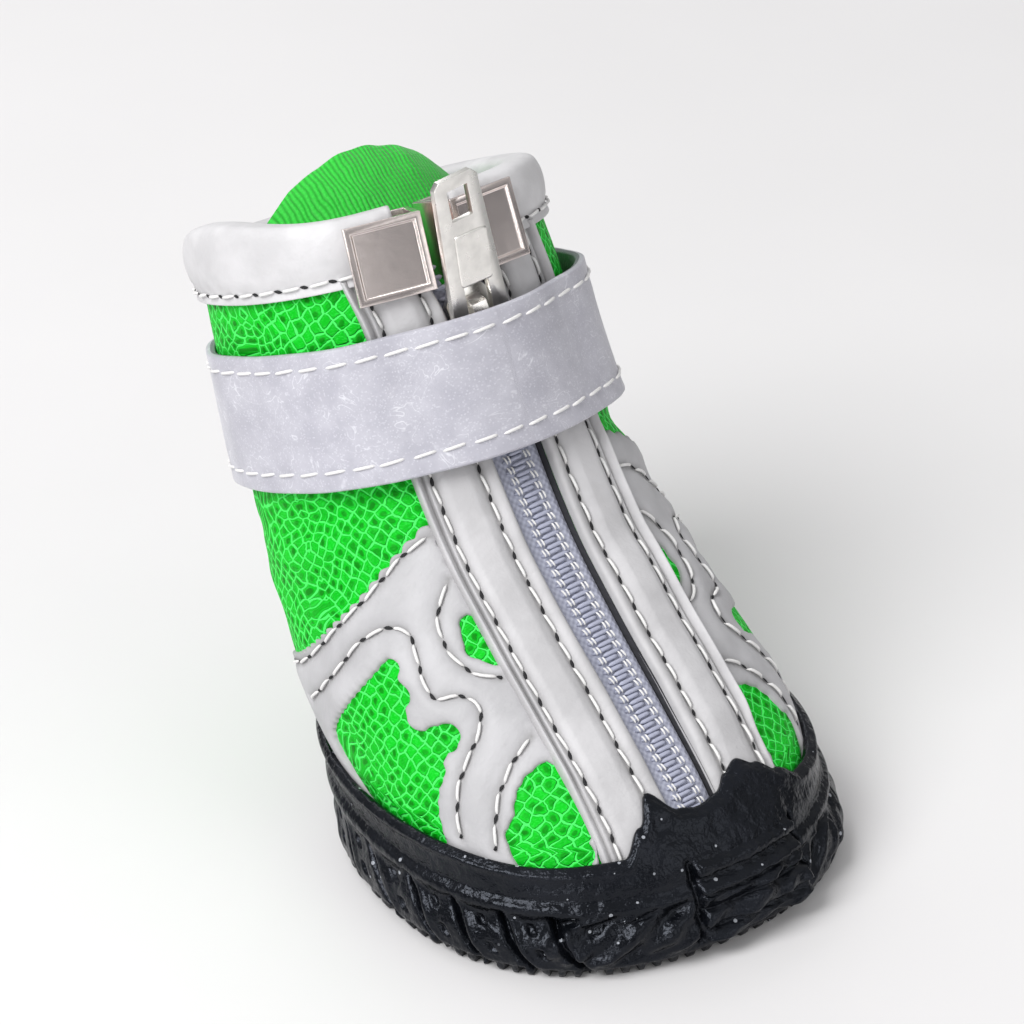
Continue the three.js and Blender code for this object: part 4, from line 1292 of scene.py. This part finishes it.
def make_tab_panel():
    """The pressed panel in the middle of the pull tab's face."""
    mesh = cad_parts["pull_tab"].data
    points = np.array([v.co[:] for v in mesh.vertices]) / MM
    centre = (points.max(axis=0) + points.min(axis=0)) / 2
    long_axis = np.linalg.eigh(np.cov((points - centre).T))[1][:, 2]
    face = max((f for f in mesh.polygons if f.normal.y < -0.7), key=lambda f: f.area)
    out = unit(np.array(face.normal[:]))
    along = unit(long_axis - out * (long_axis @ out))
    along = along * np.sign(along[2])
    wide = np.cross(along, out)
    front = (np.array(face.center[:]) / MM - centre) @ out
    angle = circle(48)
    sizes, corner = (TAB_PANEL.half_width, TAB_PANEL.half_length), TAB_PANEL.corner
    x, y = (np.clip(turned * 9, corner - half, half - corner) + turned * corner
            for turned, half in zip((np.cos(angle), np.sin(angle)), sizes))
    rings = []
    for inset, lift in ((0, -0.1), (0.02, 0.5), (0.1, 0.9), (0.25, 1.0), (0.6, 1.0)):
        rx, ry = (p * (1 - inset / half) for p, half in zip((x, y), sizes))
        level = front - 0.05 + TAB_PANEL.height * lift
        rings.append(centre + np.outer(rx, wide) + np.outer(ry + TAB_PANEL.shift, along) + out * level)
    points, faces = lofted(rings)
    del faces[-2]
    panel = make_object("tab_panel", points, faces, mat_tab, ride=TAB_BODY)
    face_out(panel)


make_outsole()
make_insole()
make_upper()
for side, hand in ((1, "right"), (-1, "left")):
    make_overlay(side, f"overlay_{hand}")
    make_gusset(side, f"gusset_{hand}")
make_backstay()
make_collar()
make_tongue()
make_strap()
make_strap_end()
make_zip()
make_metal()
sewing.make(mat_thread, mat_hole_shade)

# ---------------------------------------------------------------- floor, light and camera
EYE = Vector((-334.8, -476.2, 383.4)) * MM
LOOK = Vector((0.540, 0.689, -0.484)).normalized()
TARGET = Vector((0.5, 13.0, 38.0)) * MM
LENS = 205
LIT = Vector((0, 0.01, 0.035))


def make_floor():
    n = Nodes("paper_floor")
    faint = n.noise(n.place(), 0.02, 3.0)
    colour = n.mix(faint, rgb(0.70, 0.69, 0.695), rgb(0.74, 0.73, 0.735))
    material = n.finish(Base_Color=colour, Roughness=0.55)
    mesh = bpy.data.meshes.new("floor")
    mesh.from_pydata([(-4, -4, 0), (4, -4, 0), (4, 4, 0), (-4, 4, 0)], [], [(0, 1, 2, 3)])
    mesh.materials.append(material)
    floor = linked("floor", mesh)


def add_light(name, place, size, watts):
    data = bpy.data.lights.new(name, "AREA")
    data.shape = "DISK"
    data.size = size
    data.energy = watts
    light = linked(name, data)
    light.location = place
    light.rotation_euler = (LIT - Vector(place)).to_track_quat("-Z", "Y").to_euler()


def make_camera():
    data = bpy.data.cameras.new("camera")
    data.lens = LENS
    data.sensor_width = 36
    data.clip_start, data.clip_end = 0.01, 20
    camera = linked("camera", data)
    base = LOOK.to_track_quat("-Z", "Y")
    turn = LOOK.rotation_difference((TARGET - EYE).normalized())
    camera.rotation_mode = "QUATERNION"
    camera.rotation_quaternion = turn @ base
    camera.location = EYE
    bpy.context.scene.camera = camera


make_floor()
make_camera()
add_light("key", (-0.6, -0.05, 0.75), 0.6, 8.0)
add_light("fill", (0.25, -0.86, 0.42), 0.7, 1.4)
add_light("low", (-0.55, -0.5, 0.2), 0.2, 0.8)
add_light("back", (0.1, 0.8, 0.7), 0.6, 2.6)
world = bpy.data.worlds.new("studio")
world.use_nodes = True
sky = world.node_tree
background = sky.nodes["Background"]
background.inputs["Strength"].default_value = 0.55
place, split, ramp = (sky.nodes.new("ShaderNode" + kind) for kind in ("TexCoord", "SeparateXYZ", "ValToRGB"))
low, high = ramp.color_ramp.elements
low.color, low.position = rgb(0.22, 0.225, 0.235), 0.05
high.color, high.position = rgb(1.0, 1.0, 1.0), 0.6
sky.links.new(place.outputs["Generated"], split.inputs[0])
sky.links.new(split.outputs["Z"], ramp.inputs["Fac"])
sky.links.new(ramp.outputs["Color"], background.inputs["Color"])
bpy.context.scene.world = world
bpy.context.scene.view_settings.view_transform = "Standard"
